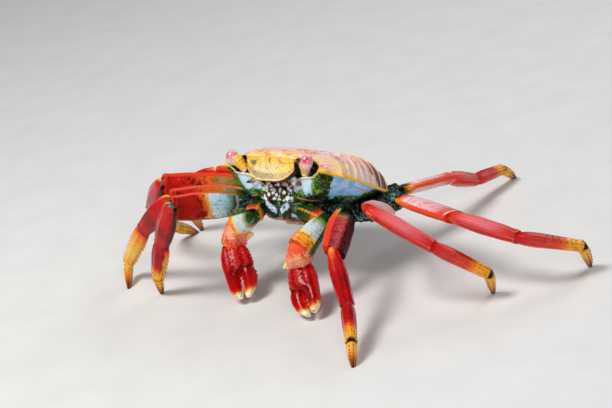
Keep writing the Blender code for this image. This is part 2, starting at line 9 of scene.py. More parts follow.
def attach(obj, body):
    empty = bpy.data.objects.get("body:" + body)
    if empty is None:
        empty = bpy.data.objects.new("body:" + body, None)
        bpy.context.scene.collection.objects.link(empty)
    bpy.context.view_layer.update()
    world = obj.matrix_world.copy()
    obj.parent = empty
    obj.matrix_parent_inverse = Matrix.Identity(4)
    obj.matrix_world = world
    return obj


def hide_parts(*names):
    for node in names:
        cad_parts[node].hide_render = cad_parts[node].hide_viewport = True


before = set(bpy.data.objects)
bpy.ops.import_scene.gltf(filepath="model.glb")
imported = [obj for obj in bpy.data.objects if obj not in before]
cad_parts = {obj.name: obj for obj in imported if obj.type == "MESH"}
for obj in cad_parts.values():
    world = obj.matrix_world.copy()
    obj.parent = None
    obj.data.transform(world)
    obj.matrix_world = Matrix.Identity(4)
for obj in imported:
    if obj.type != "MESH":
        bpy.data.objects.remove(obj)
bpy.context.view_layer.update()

MM = 0.001


# The museum table. The crab stands alone on a plain pale board, under a broad soft lamp above its left
# shoulder and a weaker one in front, and is seen a little from its left and from above.
class Wire:
    """A socket in a material. Sums on it add their Math nodes, and node() adds any other node."""

    def __init__(self, tree, socket=None):
        self.tree = tree
        self.socket = socket

    def node(self, kind, settings=None, sockets=None, output=0):
        made = self.tree.nodes.new("ShaderNode" + kind)
        for name, value in (settings or {}).items():
            if name == "stops":
                set_stops(made.color_ramp, value)
            else:
                setattr(made, name, value)
        for name, value in (sockets or {}).items():
            if isinstance(value, Wire):
                self.tree.links.new(value.socket, made.inputs[name])
            else:
                made.inputs[name].default_value = value
        return Wire(self.tree, made.outputs[output])

    def math(self, operation, *values):
        sockets = dict(enumerate((self, *values)))
        return self.node("Math", {"operation": operation}, sockets)

    def __add__(self, other):
        return self.math("ADD", other)

    def __sub__(self, other):
        return self.math("SUBTRACT", other)

    def __rsub__(self, other):
        return self.node("Math", {"operation": "SUBTRACT"}, {0: other, 1: self})

    def __mul__(self, other):
        return self.math("MULTIPLY", other)

    def __abs__(self):
        return self.math("ABSOLUTE")

    __radd__ = __add__
    __rmul__ = __mul__

    def step(self, low, high):
        """0 below low and 1 above high, with a smooth rise between, or a fall if low is the higher."""
        settings = {"interpolation_type": "SMOOTHSTEP"}
        if low < high:
            return self.node("MapRange", settings, {0: self, 1: low, 2: high, 3: 0.0, 4: 1.0})
        return self.node("MapRange", settings, {0: self, 1: high, 2: low, 3: 1.0, 4: 0.0})

    def ramp(self, stops):
        return self.node("ValToRGB", {"stops": stops}, {"Fac": self})

    def __getitem__(self, name):
        """One of the values that mark() left on the piece."""
        return self.node("Attribute", {"attribute_name": name}, output="Fac")

    def noise(self, scale, detail=3.0):
        place = self.node("TexCoord", output="Object")
        sockets = {"Vector": place, "Scale": scale, "Detail": detail, "Roughness": 0.55}
        return self.node("TexNoise", None, sockets)

    def cells(self, scale):
        place = self.node("TexCoord", output="Object")
        return self.node("TexVoronoi", None, {"Vector": place, "Scale": scale}, "Distance")

    def mix(self, mask, colour, other):
        """One colour where the mask is 0 and the other where it is 1."""
        colour, other = (linear(value) if isinstance(value, int) else value for value in (colour, other))
        return self.node("Mix", {"data_type": "RGBA"}, {0: mask, 6: colour, 7: other}, 2)

    def lay(self, *layers):
        """This colour with others over it, one after the other: a mask and a colour for each."""
        colour = self
        for mask, other in zip(layers[::2], layers[1::2]):
            colour = self.mix(mask, colour, other)
        return colour


def linear(colour):
    """An opaque linear colour from its screen value, written in hex."""
    return (*((value / 255) ** 2.2 for value in colour.to_bytes(3, "big")), 1.0)


def set_stops(ramp, stops):
    """A colour ramp's stops, as a dict of place and colour."""
    for spare in list(ramp.elements)[1:]:
        ramp.elements.remove(spare)
    for index, (place, colour) in enumerate(stops.items()):
        stop = ramp.elements.new(place) if index else ramp.elements[0]
        stop.position = place
        stop.color = linear(colour)


def finish(name, paint, gloss=0.3, coat=0.0, coat_roughness=0.1, bump=None, depth=0.1, specular=0.5):
    """A material. paint and bump turn a bare Wire into the colour and the height, in shares of depth mm."""
    material = bpy.data.materials.new(name)
    material.use_nodes = True
    tree = material.node_tree
    shader = tree.nodes["Principled BSDF"]
    bare = Wire(tree)
    tree.links.new(paint(bare).socket, shader.inputs["Base Color"])
    if callable(gloss):
        tree.links.new(gloss(bare).socket, shader.inputs["Roughness"])
    else:
        shader.inputs["Roughness"].default_value = gloss
    shader.inputs["Coat Weight"].default_value = coat
    shader.inputs["Coat Roughness"].default_value = coat_roughness
    shader.inputs["Specular IOR Level"].default_value = specular
    if bump:
        raised = bare.node("Bump", None, {"Height": bump(bare), "Distance": depth * MM, "Strength": 1.0})
        tree.links.new(raised.socket, shader.inputs["Normal"])
    return material


def ready(kind, name, **how):
    """A primitive, with nothing else selected."""
    bpy.ops.object.select_all(action="DESELECT")
    getattr(bpy.ops.mesh, "primitive_" + kind + "_add")(**how)
    piece = bpy.context.object
    piece.name = name
    piece.data.name = name
    return piece


def sphere(name, segments, rings):
    return ready("uv_sphere", name, segments=segments, ring_count=rings, radius=1)


BODY_CENTRE = Vector((-17.8, -8.9, 49.0)) * MM
VIEW_AZIMUTH, VIEW_HEIGHT, VIEW_ROLL = math.radians(39.7), math.radians(20.0), math.radians(-13.0)
VIEW_DISTANCE = 0.98
FOCAL_LENGTH = 117.1
FRAME_WIDTH = 612
FRAME_SHIFT = (-1.9 / FRAME_WIDTH, -30.1 / FRAME_WIDTH)

back = Vector((math.sin(VIEW_AZIMUTH) * math.cos(VIEW_HEIGHT),
               -math.cos(VIEW_AZIMUTH) * math.cos(VIEW_HEIGHT),
               math.sin(VIEW_HEIGHT)))
level = Vector((math.cos(VIEW_AZIMUTH), math.sin(VIEW_AZIMUTH), 0.0))
upward = back.cross(level)
right = level * math.cos(VIEW_ROLL) + upward * math.sin(VIEW_ROLL)
upright = upward * math.cos(VIEW_ROLL) - level * math.sin(VIEW_ROLL)
lens = bpy.data.cameras.new("camera")
lens.sensor_width = 36.0
lens.lens = FOCAL_LENGTH
lens.shift_x, lens.shift_y = FRAME_SHIFT
lens.clip_start = 0.01
camera = bpy.data.objects.new("camera", lens)
bpy.context.scene.collection.objects.link(camera)
camera.matrix_world = Matrix.Translation(BODY_CENTRE + back * VIEW_DISTANCE) @ Matrix(
    (right, upright, back)).transposed().to_4x4()
bpy.context.scene.camera = camera
bpy.context.scene.view_settings.view_transform = "Standard"


def lamp(name, place, size, power, colour):
    """A square soft lamp that faces the crab."""
    light = bpy.data.lights.new(name, "AREA")
    light.size = size
    light.energy = power
    light.color = colour
    holder = bpy.data.objects.new(name, light)
    bpy.context.scene.collection.objects.link(holder)
    holder.location = place
    holder.rotation_euler = (BODY_CENTRE - Vector(place)).to_track_quat("-Z", "Y").to_euler()


lamp("key lamp", (-0.25, -0.45, 0.95), 0.36, 8.5, (1.0, 0.98, 0.95))
lamp("front lamp", (0.85, -0.8, 0.6), 0.4, 4.2, (0.93, 0.96, 1.0))
lamp("rear lamp", (0.2, 0.9, 0.7), 0.6, 3.2, (0.95, 0.97, 1.0))
world = bpy.data.worlds.new("studio")
world.use_nodes = True
world.node_tree.nodes["Background"].inputs["Color"].default_value = (0.80, 0.83, 0.88, 1.0)
world.node_tree.nodes["Background"].inputs["Strength"].default_value = 0.27
bpy.context.scene.world = world
floor = ready("plane", "floor", size=6.0)
floor.data.materials.append(finish(
    "pale board", lambda bare: bare.noise(40.0).ramp({0.3: 0xdededc, 0.7: 0xe4e4e2}), 0.6))


# The carapace. One hard shell of brick red, pink and lavender, low and nearly round, with oblique raised
# ridges at its sides and small scales in front. Below its yellow edge the side walls are glossy, pale blue
# mottled with green. A thin bead rims each eye socket, hollowed out of the front, and each cheek below it.
NOSE_UP, LEAN = math.radians(28.6), math.radians(0.8)
BODY_TURN = Matrix.Rotation(-NOSE_UP, 3, "X") @ Matrix.Rotation(LEAN, 3, "Y")
TURN = np.array(BODY_TURN)
HALF_WIDTH = 36.5
DOME_HEIGHT, DOME_CENTRE, DOME_FULLNESS = 11.3, (0.0, -1.0), 4.5
# Half outlines of the edge and of the hem above the legs: shares of the half width, then fore and up in mm
EDGE = (
    (0.00, 31.4, 5.6), (0.46, 30.6, 4.6), (0.72, 28.0, 0.8), (0.90, 20.0, -0.6), (0.985, 6.0, -2.2),
    (1.00, -4.0, -4.0), (0.96, -17.0, -5.2), (0.86, -28.6, -6.2), (0.54, -34.4, -6.8), (0.00, -35.6, -6.4),
)
HEM = (
    (0.00, 23.0, -15.0), (0.28, 22.6, -15.0), (0.41, 21.0, -14.6), (0.58, 14.5, -14.2), (0.76, 3.0, -13.6),
    (0.79, -6.0, -13.4), (0.76, -16.0, -12.8), (0.66, -24.6, -11.8), (0.44, -29.8, -11.2),
    (0.00, -31.4, -10.8),
)
WALL_BULGE = (-3.2, -2.6, 0.4, 2.4, 3.0, 2.6, 2.0, 1.4, 0.8, 0.6)
HEM_CENTRE = (0.0, -4.0, -12.4)
SHELL_SEGMENTS, SHELL_RINGS = 360, 262
# Shares of the shell's rings at its edge and at its hem
EDGE_RING, HEM_RING = 0.62, 0.94
MIRRORED = np.array((-1.0, 1.0, 1.0))
SIDES = {"left": 1, "right": -1}


def to_world(left, fore, up):
    """Arrays of body coordinates, in mm, as places in the world."""
    return np.array(BODY_CENTRE) + np.stack([left, -np.asarray(fore), up], -1) @ TURN.T * MM


def body_point(left, fore, up):
    return BODY_CENTRE + BODY_TURN @ (Vector((left, -fore, up)) * MM)


def points_of(piece):
    co = np.empty(len(piece.data.vertices) * 3)
    piece.data.vertices.foreach_get("co", co)
    return co.reshape(-1, 3)


def move_points(piece, co):
    piece.data.vertices.foreach_set("co", np.ascontiguousarray(co, float).ravel())
    piece.data.update()


def mark(piece, **values):
    """Named values on a piece's points, which its material reads."""
    for name, value in values.items():
        layer = piece.data.attributes.new(name, "FLOAT", "POINT")
        layer.data.foreach_set("value", np.ascontiguousarray(value, np.float32))


def polar(piece):
    """Where a fresh sphere's points lie: the share of the way from its top to its foot, and the turn."""
    x, y, z = points_of(piece).T
    return np.arccos(np.clip(z, -1, 1)) / math.pi, np.arctan2(y, x) % (2 * math.pi)


def rise(value, low, high):
    """A smooth step between two values, up or, if low is the higher, down."""
    share = np.clip((value - low) / (high - low), 0, 1)
    return share * share * (3 - 2 * share)


def hill(value, breadth):
    """1 where the value is 0, fading away on both sides."""
    return np.exp(-(value / breadth) ** 2)


def closed_curve(half, mirror, steps=32):
    """A smooth closed line through half an outline and its mirror image."""
    half = np.array(half, float).reshape(len(half), -1)
    points = np.vstack([half, half[-2:0:-1] * mirror])
    before, after, beyond = np.roll(points, 1, 0), np.roll(points, -1, 0), np.roll(points, -2, 0)
    curve = []
    for b, a, c, d in zip(points, before, after, beyond):
        for t in np.arange(steps) / steps:
            square = 2 * a - 5 * b + 4 * c - d
            curve.append((2 * b + (c - a) * t + square * t ** 2 + (3 * b - a - 3 * c + d) * t ** 3) / 2)
    return np.array(curve)


def round_body(turn, *curves):
    """Points of closed lines at these turns. Equal turns are equal lengths of the first line."""
    lengths = np.linalg.norm(np.roll(curves[0], -1, 0) - curves[0], axis=1)
    reach = np.concatenate([[0], np.cumsum(lengths)])
    found = []
    for curve in curves:
        closed = np.vstack([curve, curve[:1]])
        columns = [np.interp(turn / (2 * math.pi) * reach[-1], reach, column) for column in closed.T]
        found.append(np.stack(columns, -1))
    return found


MOTTLE_WAVES = 14


def mottle(co, scale, seed):
    """Smooth mesh noise from -1 to 1 with features of about that many mm: waves in many directions."""
    draw = np.random.default_rng(seed)
    total = np.zeros(len(co))
    for _ in range(MOTTLE_WAVES):
        way = draw.normal(size=3)
        way /= np.linalg.norm(way) * scale * MM * draw.uniform(0.7, 1.5) / (2 * math.pi)
        total += np.sin(co @ way + draw.uniform(0, 2 * math.pi))
    return total / 5.0


RIDGE_SPACING, RIDGE_BREADTH = 5.4, 0.62
SCALE_LENGTH, SCALE_WIDTH = 2.7, 4.6
# The lobes' distances from the middle, in mm
LOBES = (4.9, 12.8)
edge_line = closed_curve(EDGE, MIRRORED) * (HALF_WIDTH, 1, 1)
hem_line = closed_curve(HEM, MIRRORED) * (HALF_WIDTH, 1, 1)
bulge_line = closed_curve(WALL_BULGE, 1)

carapace = sphere("carapace_shell", SHELL_SEGMENTS, SHELL_RINGS)
share, turn = polar(carapace)
edge, hem, bulge = round_body(turn, edge_line, hem_line, bulge_line)
dome_share = np.clip(share / EDGE_RING, 0, 1) ** 0.8
wall_share = np.clip((share - EDGE_RING) / (HEM_RING - EDGE_RING), 0, 1)
belly_share = np.clip((share - HEM_RING) / (1 - HEM_RING), 0, 1)
plan = np.array(DOME_CENTRE) + (edge[:, :2] - DOME_CENTRE) * dome_share[:, None]
up = edge[:, 2] + (DOME_HEIGHT - edge[:, 2]) * (1 - dome_share ** DOME_FULLNESS)
body = np.column_stack([plan, up])
body += (hem - edge) * wall_share[:, None]
away = hem[:, :2] / np.linalg.norm(hem[:, :2], axis=1)[:, None]
body[:, :2] += away * bulge * np.sin(math.pi * wall_share[:, None]) ** 0.8
body += (np.array(HEM_CENTRE) - hem) * belly_share[:, None]

left, fore, up = body.T
around = np.degrees(np.arctan2(np.abs(left), fore + 4.0))
co = to_world(left, fore, up)
wobble = mottle(co, 14.0, 3)
on_dome = rise(share, EDGE_RING, EDGE_RING - 0.02)
aside = np.abs(left)
# Oblique ridges run in and back from the edge, and are sharp at the side and rear
lines = fore - 0.3 * aside - 0.02 * np.maximum(aside - 25, 0) ** 2 + 0.5 * wobble
phase = (lines / RIDGE_SPACING) % 1.0
crest = hill(np.minimum(phase, 1 - phase) * RIDGE_SPACING, RIDGE_BREADTH)
ridge_zone = rise(aside, 13, 21) * rise(fore, 17, 9)
ridges = crest * ridge_zone
# Small curved scales in staggered rows cover the front and the middle
row = (fore + 0.03 * left ** 2 * rise(fore, 0, 20) + 0.7 * mottle(co, 8.0, 5)) / SCALE_LENGTH
column = left / SCALE_WIDTH + 0.5 * (np.floor(row) % 2) + 0.25 * mottle(co, 9.0, 6)
scale_arc = np.abs(column % 1.0 - 0.5) * 2
scale_phase = (row + 0.22 * scale_arc ** 2) % 1.0
scales = rise(scale_phase, 0.05, 0.75) * rise(scale_phase, 0.98, 0.82) * (1 - 0.7 * scale_arc ** 4)
scale_zone = (1 - ridge_zone) * (0.35 + 0.65 * rise(fore, 2, 16))
# The lobes over the front plate, and the shallow grooves that part the regions of the back
lobes = sum(hill(aside - at, 3.3) * hill(fore - 28.4, 3.4) for at in LOBES)
neck_groove = hill(fore - 6 + 0.28 * aside + 2.0 * np.cos(aside / 3.2), 1.3) * rise(aside, 24, 17)
heart_groove = hill(aside - 9.5 - 0.12 * (fore + 12), 1.2) * rise(fore, -27, -20) * rise(fore, 5, 0)
side_groove = hill(aside - 24 + 0.55 * (fore - 8), 1.4) * rise(fore, 4, 9) * rise(fore, 24, 18)
grooves = neck_groove + heart_groove + side_groove
gravel = mottle(co, 1.7, 11) * rise(around, 20, 16)
gravel *= rise(wall_share, 0.12, 0.25) * rise(wall_share, 0.9, 0.7)
# The cheek's upper edge slopes up from beside the mouth to the socket's outer corner
cheek = wall_share + belly_share - (0.66 - (around - 15) * 0.019)
cheek_zone = rise(around, 14, 17) * rise(around, 40, 37) * (share > EDGE_RING)
cheek_ridge = hill(cheek, 0.045) * cheek_zone
height = on_dome * (0.85 * ridges + 0.34 * scales * scale_zone - 0.55 * grooves + 0.9 * lobes)
# Two teeth stand out along the edge: one outside each socket and a smaller one behind it
for at, breadth, reach in ((44.5, 3.2, 2.3), (58.0, 2.6, 1.3)):
    tooth = hill(around - at, breadth) * hill(share - EDGE_RING, 0.045)
    body[:, :2] += away * (reach * tooth)[:, None]
    body[:, 1] += reach * 0.8 * tooth
bead = hill(share - EDGE_RING, 0.008) * rise(around, 24, 40)
body[:, :2] += away * (0.35 * bead + 0.35 * gravel + 0.55 * cheek_ridge - 1.4 * rise(-cheek, 0.03, 0.2)
                       * cheek_zone)[:, None]
body[:, 2] += height
move_points(carapace, to_world(*body.T))
mark(carapace, fore=fore, around=around, ridge=ridges * on_dome, scale=scales * scale_zone * on_dome,
     groove=grooves * on_dome, cheek=np.where(cheek_zone > 0.02, cheek, 1.0),
     depth=np.where(share < EDGE_RING, share / EDGE_RING - 1, wall_share + belly_share))

cheek_lines = {side: [np.array(to_world(*body[near].T)).mean(0) for at in np.arange(16.0, 40.0)
                      if (near := (left * sign > 0) & (share > EDGE_RING) & (np.abs(around - at) < 0.9)
                          & (np.abs(cheek) < 0.04)).any()] for side, sign in SIDES.items()}

SOCKET_CENTRE, SOCKET_RADII = (20.6, 31.0, 1.8), (7.4, 8.0, 4.9)


def cut(piece, tool):
    """Takes a tool's shape out of a piece, and removes the tool."""
    bpy.context.view_layer.objects.active = piece
    boolean = piece.modifiers.new("cut", "BOOLEAN")
    boolean.object = tool
    boolean.operation = "DIFFERENCE"
    boolean.solver = "EXACT"
    boolean.material_mode = "TRANSFER"
    bpy.ops.object.modifier_apply(modifier="cut")
    bpy.data.objects.remove(tool)


def body_ball(name, centre, radii, segments=96, rings=64):
    """A ball of three radii in mm, in the body's own directions."""
    ball = sphere(name, segments, rings)
    move_points(ball, points_of(ball) * np.array(radii) @ TURN.T * MM + np.array(body_point(*centre)))
    return ball


LAVENDER = 0xe2ccd4
RUST, DARK_RED, YELLOW = 0xb04a30, 0x5c1a14, 0xfabe28
SKY, MOSS, INK = 0x74bef6, 0x183e16, 0x060e0c


def mosaic(bare):
    """Small white and green tiles with dark lines between them."""
    return (bare.cells(440.0) * 1.1 + bare.noise(900.0) * 0.6 - 0.3).ramp(
        {0.34: 0xf4f8fa, 0.46: 0xe2eaea, 0.52: 0x5c8c3c, 0.6: 0x182214, 0.76: 0x783c3c, 0.86: INK})


def shell_paint(bare):
    """Pink and lavender with orange ridges above; pale blue mottled with green below the yellow edge."""
    fine, coarse, wide = bare.noise(900.0), bare.noise(160.0, 4.0), bare.noise(70.0, 3.0)
    ridge, scale, groove = bare["ridge"], bare["scale"], bare["groove"]
    fore, around, depth = bare["fore"], bare["around"], bare["depth"]
    blotch = (coarse * 0.6 + fine * 0.4).ramp(
        {0.38: 0xbe6e60, 0.45: 0xf0baa8, 0.53: LAVENDER, 0.62: 0xf6ded8})
    blotch = blotch.lay((wide + coarse * 0.5).step(0.82, 0.98) * 0.55, 0xce684c)
    behind = (fore + coarse * 14.0).step(1.0, -9.0)
    top = bare.mix(behind * 0.8, blotch, (coarse + fine * 0.5).ramp(
        {0.66: DARK_RED, 0.76: RUST, 0.86: 0xce969c, 0.96: 0xdcb4be}))
    gaps = (fore + coarse * 8.0).step(-4.0, -10.0) * depth.step(-0.42, -0.24) * around.step(90.0, 98.0)
    front = (coarse * 0.6 + fine * 0.4).ramp(
        {0.42: 0xf08c50, 0.5: 0xfcce54, 0.56: 0xfedc8c, 0.64: 0xf8d6c8})
    warm = depth.step(-0.34, -0.1) * around.step(24.0, 36.0) * around.step(84.0, 62.0)
    top = top.lay(
        (scale + fine * 0.5 - 0.25).step(0.25, 0.75) * 0.65, 0xf49a6c,
        groove.step(0.3, 1.0) * 0.55, 0x968ca0,
        gaps, 0x3a0e0a,
        (ridge + fine * 0.3 - 0.15).step(0.2, 0.6) * (fore.step(8.0, -6.0) * 0.5 + 0.5), 0xfaac80,
        (fore + coarse * 6.0).step(29.5, 32.5) * 0.9, front,
        warm * (coarse + fine * 0.4).step(0.6, 0.78) * 0.8, 0xf4ce78,
        depth.step(-0.03, -0.012) * around.step(20.0, 34.0), YELLOW)

    patch = coarse * 1.3 + fine * 0.7
    wall = bare.mix((coarse * 1.4 + fine * 0.4 - 0.4).step(0.35, 0.7), SKY, 0xb2dafa)
    wall = wall.lay(around.step(42.0, 34.0) * 0.7, 0xdef0fc)
    ragged = around + patch * 9.0 - 9.0
    band = ragged.step(37.0, 38.5) * ragged.step(51.5, 50.0)
    rearward = (around - 60.0).math("MAXIMUM", 0.0) * 0.8 + (around - 78.0).math("MAXIMUM", 0.0) * 3.0
    low = depth * 100.0 + patch * 46.0 - 38.0 + rearward
    green = (fine * 0.5 + coarse * 0.5).ramp(
        {0.41: 0x041206, 0.48: 0x0e320c, 0.53: 0x2e6816, 0.59: 0x7cb038})
    wall = wall.lay(band.math("MAXIMUM", low.step(76.0, 84.0)), green)
    dark = bare.mix((fine * 0.6 + coarse * 0.4).step(0.55, 0.63), INK, 0x606e74)
    wall = wall.lay(
        (low + fine * 30.0).step(112.0, 124.0), dark,
        (around + patch * 4.0).step(96.0, 104.0) * 0.92, INK)
    line_place = depth * 90.0 + abs(around - 80.0) * 0.5
    line = abs(line_place - 31.0 + coarse * 4.0 - 2.0).step(2.4, 0.8) * around.step(66.0, 73.0)
    wall = wall.lay(line * around.step(95.0, 88.0), 0xba6e32)
    seam = abs(depth * 100.0 - 95.0 + abs(around - 38.0) * 0.5).step(2.6, 1.0)
    wall = wall.lay(seam * around.step(22.0, 27.0) * around.step(46.0, 40.0), 0xc47840)
    # Between the cheeks the wall is a mosaic of white, green and black about the mouth, over red-brown
    tiles = mosaic(bare)
    tiles = tiles.lay((depth + coarse * 0.3).step(1.02, 1.16),
                      bare.mix(coarse.step(0.5, 0.6), INK, 0x783c2c))
    wall = wall.lay((around + patch * 3.0).step(24.0, 21.0), tiles)
    cheek = bare["cheek"]
    # Above each cheek's upper edge the wall sinks in, and is painted near black flecked with dark green:
    # painted shade of that hollow.
    wall = wall.lay(
        (cheek + coarse * 0.06).step(0.0, -0.04), bare.mix(fine.step(0.56, 0.66), INK, 0x465a3c),
        depth.step(0.09, 0.06) * around.step(34.0, 30.0), 0xf6b046,
        depth.step(0.075, 0.03) * around.step(34.0, 38.0), YELLOW)
    return bare.mix(depth.step(-0.004, 0.004), top, wall)


def shell_gloss(bare):
    return bare.noise(500.0) * 0.2 + 0.2 + bare["depth"].step(0.02, -0.02) * 0.12


carapace.data.materials.append(finish(
    "carapace shell", shell_paint, shell_gloss, 0.22, 0.08,
    lambda bare: bare.noise(1400.0, 2.0) * 0.5 + bare.cells(900.0) * 0.6, 0.12, 0.25))
# Inside each socket the shell is painted near black, with a little grey-blue: painted shade of the deep
# hollow.
socket_shade_finish = finish("eye socket", lambda bare: (bare.noise(300.0, 4.0) + bare.noise(900.0) * 0.4).ramp(
    {0.55: 0x0a100c, 0.72: 0x1e2c20, 0.82: 0x6e7c82}), 0.3, 0.3)
for side, sign in SIDES.items():
    socket = body_ball("socket", (SOCKET_CENTRE[0] * sign, *SOCKET_CENTRE[1:]), SOCKET_RADII)
    socket.data.materials.append(socket_shade_finish)
    cut(carapace, socket)
bpy.context.view_layer.objects.active = carapace
carapace.select_set(True)
bpy.ops.object.shade_smooth_by_angle(angle=math.radians(50))


def rim_loops(piece):
    """The closed lines of points where a piece's first and second materials meet."""
    bm = bmesh.new()
    bm.from_mesh(piece.data)
    near = {}
    for line in bm.edges:
        if len({face.material_index for face in line.link_faces}) > 1:
            a, b = line.verts
            near.setdefault(a, []).append(b)
            near.setdefault(b, []).append(a)
    loops = []
    while near:
        point = next(iter(near))
        loop = []
        while point is not None:
            loop.append(point.co.copy())
            ways = near.pop(point)
            point = next((way for way in ways if way in near), None)
        loops.append(loop)
    bm.free()
    return [loop for loop in loops if len(loop) > 30]


def outward(place):
    """1 above the eye and on its outer side, 0 below it and towards the mouth, for places in body mm."""
    return rise(np.abs(place[:, 0]) + 0.9 * place[:, 2], 20.0, 24.5)


def bead_along(name, loop, radius, smoothing=9, closed=True):
    """A round bead along a line of points, closed or open."""
    line = np.array(loop)
    window = np.hanning(smoothing + 2)[1:-1]
    window /= window.sum()
    ends = {"mode": "wrap"} if closed else {"mode": "reflect", "reflect_type": "odd"}
    line = np.stack([np.convolve(np.pad(axis, smoothing // 2, **ends), window, "valid")
                     for axis in line.T], -1)
    curve = bpy.data.curves.new(name, "CURVE")
    curve.dimensions = "3D"
    curve.bevel_depth = radius * MM
    curve.bevel_resolution = 4
    spline = curve.splines.new("POLY")
    spline.points.add(len(line) - 1)
    outer = outward((line - np.array(BODY_CENTRE)) @ TURN / MM) if closed else np.ones(len(line))
    for spot, co, strength in zip(spline.points, line, outer):
        spot.co = (*co, 1.0)
        spot.radius = 0.35 + 0.65 * strength
    spline.use_cyclic_u = closed
    curve.use_fill_caps = not closed
    bead = bpy.data.objects.new(name, curve)
    bpy.context.scene.collection.objects.link(bead)
    bpy.ops.object.select_all(action="DESELECT")
    bead.select_set(True)
    bpy.context.view_layer.objects.active = bead
    bpy.ops.object.convert(target="MESH")
    return bpy.context.object


def rim_paint(bare):
    """Yellow and orange outside the eye; near black below it, as painted shade."""
    bright = (bare.noise(240.0) + bare.noise(900.0) * 0.3).ramp(
        {0.5: 0xf8a032, 0.62: 0xfecc3c, 0.8: 0xfede6e})
    # Below the eye the bead is painted near black: painted shade of the dark gap that runs down towards the
    # mouth.
    return bare.mix((bare["outer"] + bare.noise(400.0) * 0.3 - 0.15).step(0.3, 0.6), INK, bright)


rim_finish = finish("socket rim", rim_paint, 0.28, 0.3)
for index, loop in enumerate(rim_loops(carapace)):
    rim = bead_along(f"socket_rim_{index}", loop, 0.42)
    rim.data.materials.append(rim_finish)
    mark(rim, outer=outward((points_of(rim) - np.array(BODY_CENTRE)) @ TURN / MM))
    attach(rim, "root")
for side, line in cheek_lines.items():
    edge_bead = bead_along(f"cheek_edge_{side}", line, 0.32, 5, False)
    edge_bead.data.materials.append(rim_finish)
    mark(edge_bead, outer=np.ones(len(edge_bead.data.vertices)))
    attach(edge_bead, "root")
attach(carapace, "root")
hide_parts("carapace")


# The front plate. The steep front of the shell between the eyes is a thick curved plate, yellow and orange,
# granular, with a bright notched rim round its foot and sides. It is one with the shell along its top.
def own(piece, node, paint):
    """Gives a finished piece its material and its place in the part."""
    piece.data.materials.append(paint)
    bpy.ops.object.select_all(action="DESELECT")
    piece.select_set(True)
    bpy.context.view_layer.objects.active = piece
    bpy.ops.object.shade_smooth_by_angle(angle=math.radians(60))
    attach(piece, "root")
    if node:
        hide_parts(node)


def shell_bump(bare):
    return bare.noise(1500.0, 2.0) * 0.6 + bare.cells(1100.0) * 0.4


PLATE_HALF_WIDTH, PLATE_DEPTH, PLATE_UNDERCUT = 14.4, 12.3, 0.7
PLATE_TOP = (31.7, 6.0)
PLATE_THICKNESS = 2.4
plate = ready("grid", "front_plate", x_subdivisions=170, y_subdivisions=100, size=2)
column, row, _ = points_of(plate).T
row = (1 - row) / 2
bow = column ** 2
left = column * PLATE_HALF_WIDTH
depth = PLATE_DEPTH * row * (1 - 0.6 * np.abs(column) ** 3.2)
fore = PLATE_TOP[0] - PLATE_UNDERCUT * row - 1.2 * bow
up = PLATE_TOP[1] - depth - 1.1 * bow
foot_rim = hill(row - 0.968, 0.02)
side_rim = hill(1 - np.abs(column), 0.022) * rise(row, 0.1, 0.3)
notches = 0.5 + 0.5 * np.sin(left * 4.2)
grains = rise(np.sin(left * 2.3 + 0.8 * np.sin(depth * 2)) * np.sin(depth * 2.5 + 0.6 * np.sin(left)),
              0.25, 0.9)
plate_lobes = sum(hill(np.abs(left) - at, 3.4) for at in LOBES) * rise(row, 0.4, 0.0)
mid_groove = hill(left, 0.45) * rise(row, 0.4, 0.3)
hollow = rise(row, 0.3, 0.6) * rise(row, 0.92, 0.75) * (1 - bow)
raised = 0.7 * foot_rim * (0.7 + 0.3 * notches) + 0.4 * side_rim + 0.42 * grains + 0.9 * plate_lobes
raised -= 0.6 * mid_groove + 0.7 * hollow
fore = fore + raised
rolled = 1.0 * rise(row, 0.965, 1.0) + 1.0 * rise(row, 0.06, 0.0)
move_points(plate, to_world(left, fore - rolled, up))
mark(plate, row=row, column=column, grain=grains, rim=foot_rim + side_rim, side=left)
bpy.context.view_layer.objects.active = plate
solid = plate.modifiers.new("thickness", "SOLIDIFY")
solid.thickness = PLATE_THICKNESS * MM
solid.offset = -1.0
bpy.ops.object.modifier_apply(modifier="thickness")
# The back of the plate lies straight behind its face, so that it doesn't show beyond the rim
both = points_of(plate)
face_count = len(both) // 2
both[face_count:] = both[:face_count] + (to_world(0, -PLATE_THICKNESS, 0) - to_world(0, 0, 0))
move_points(plate, both)


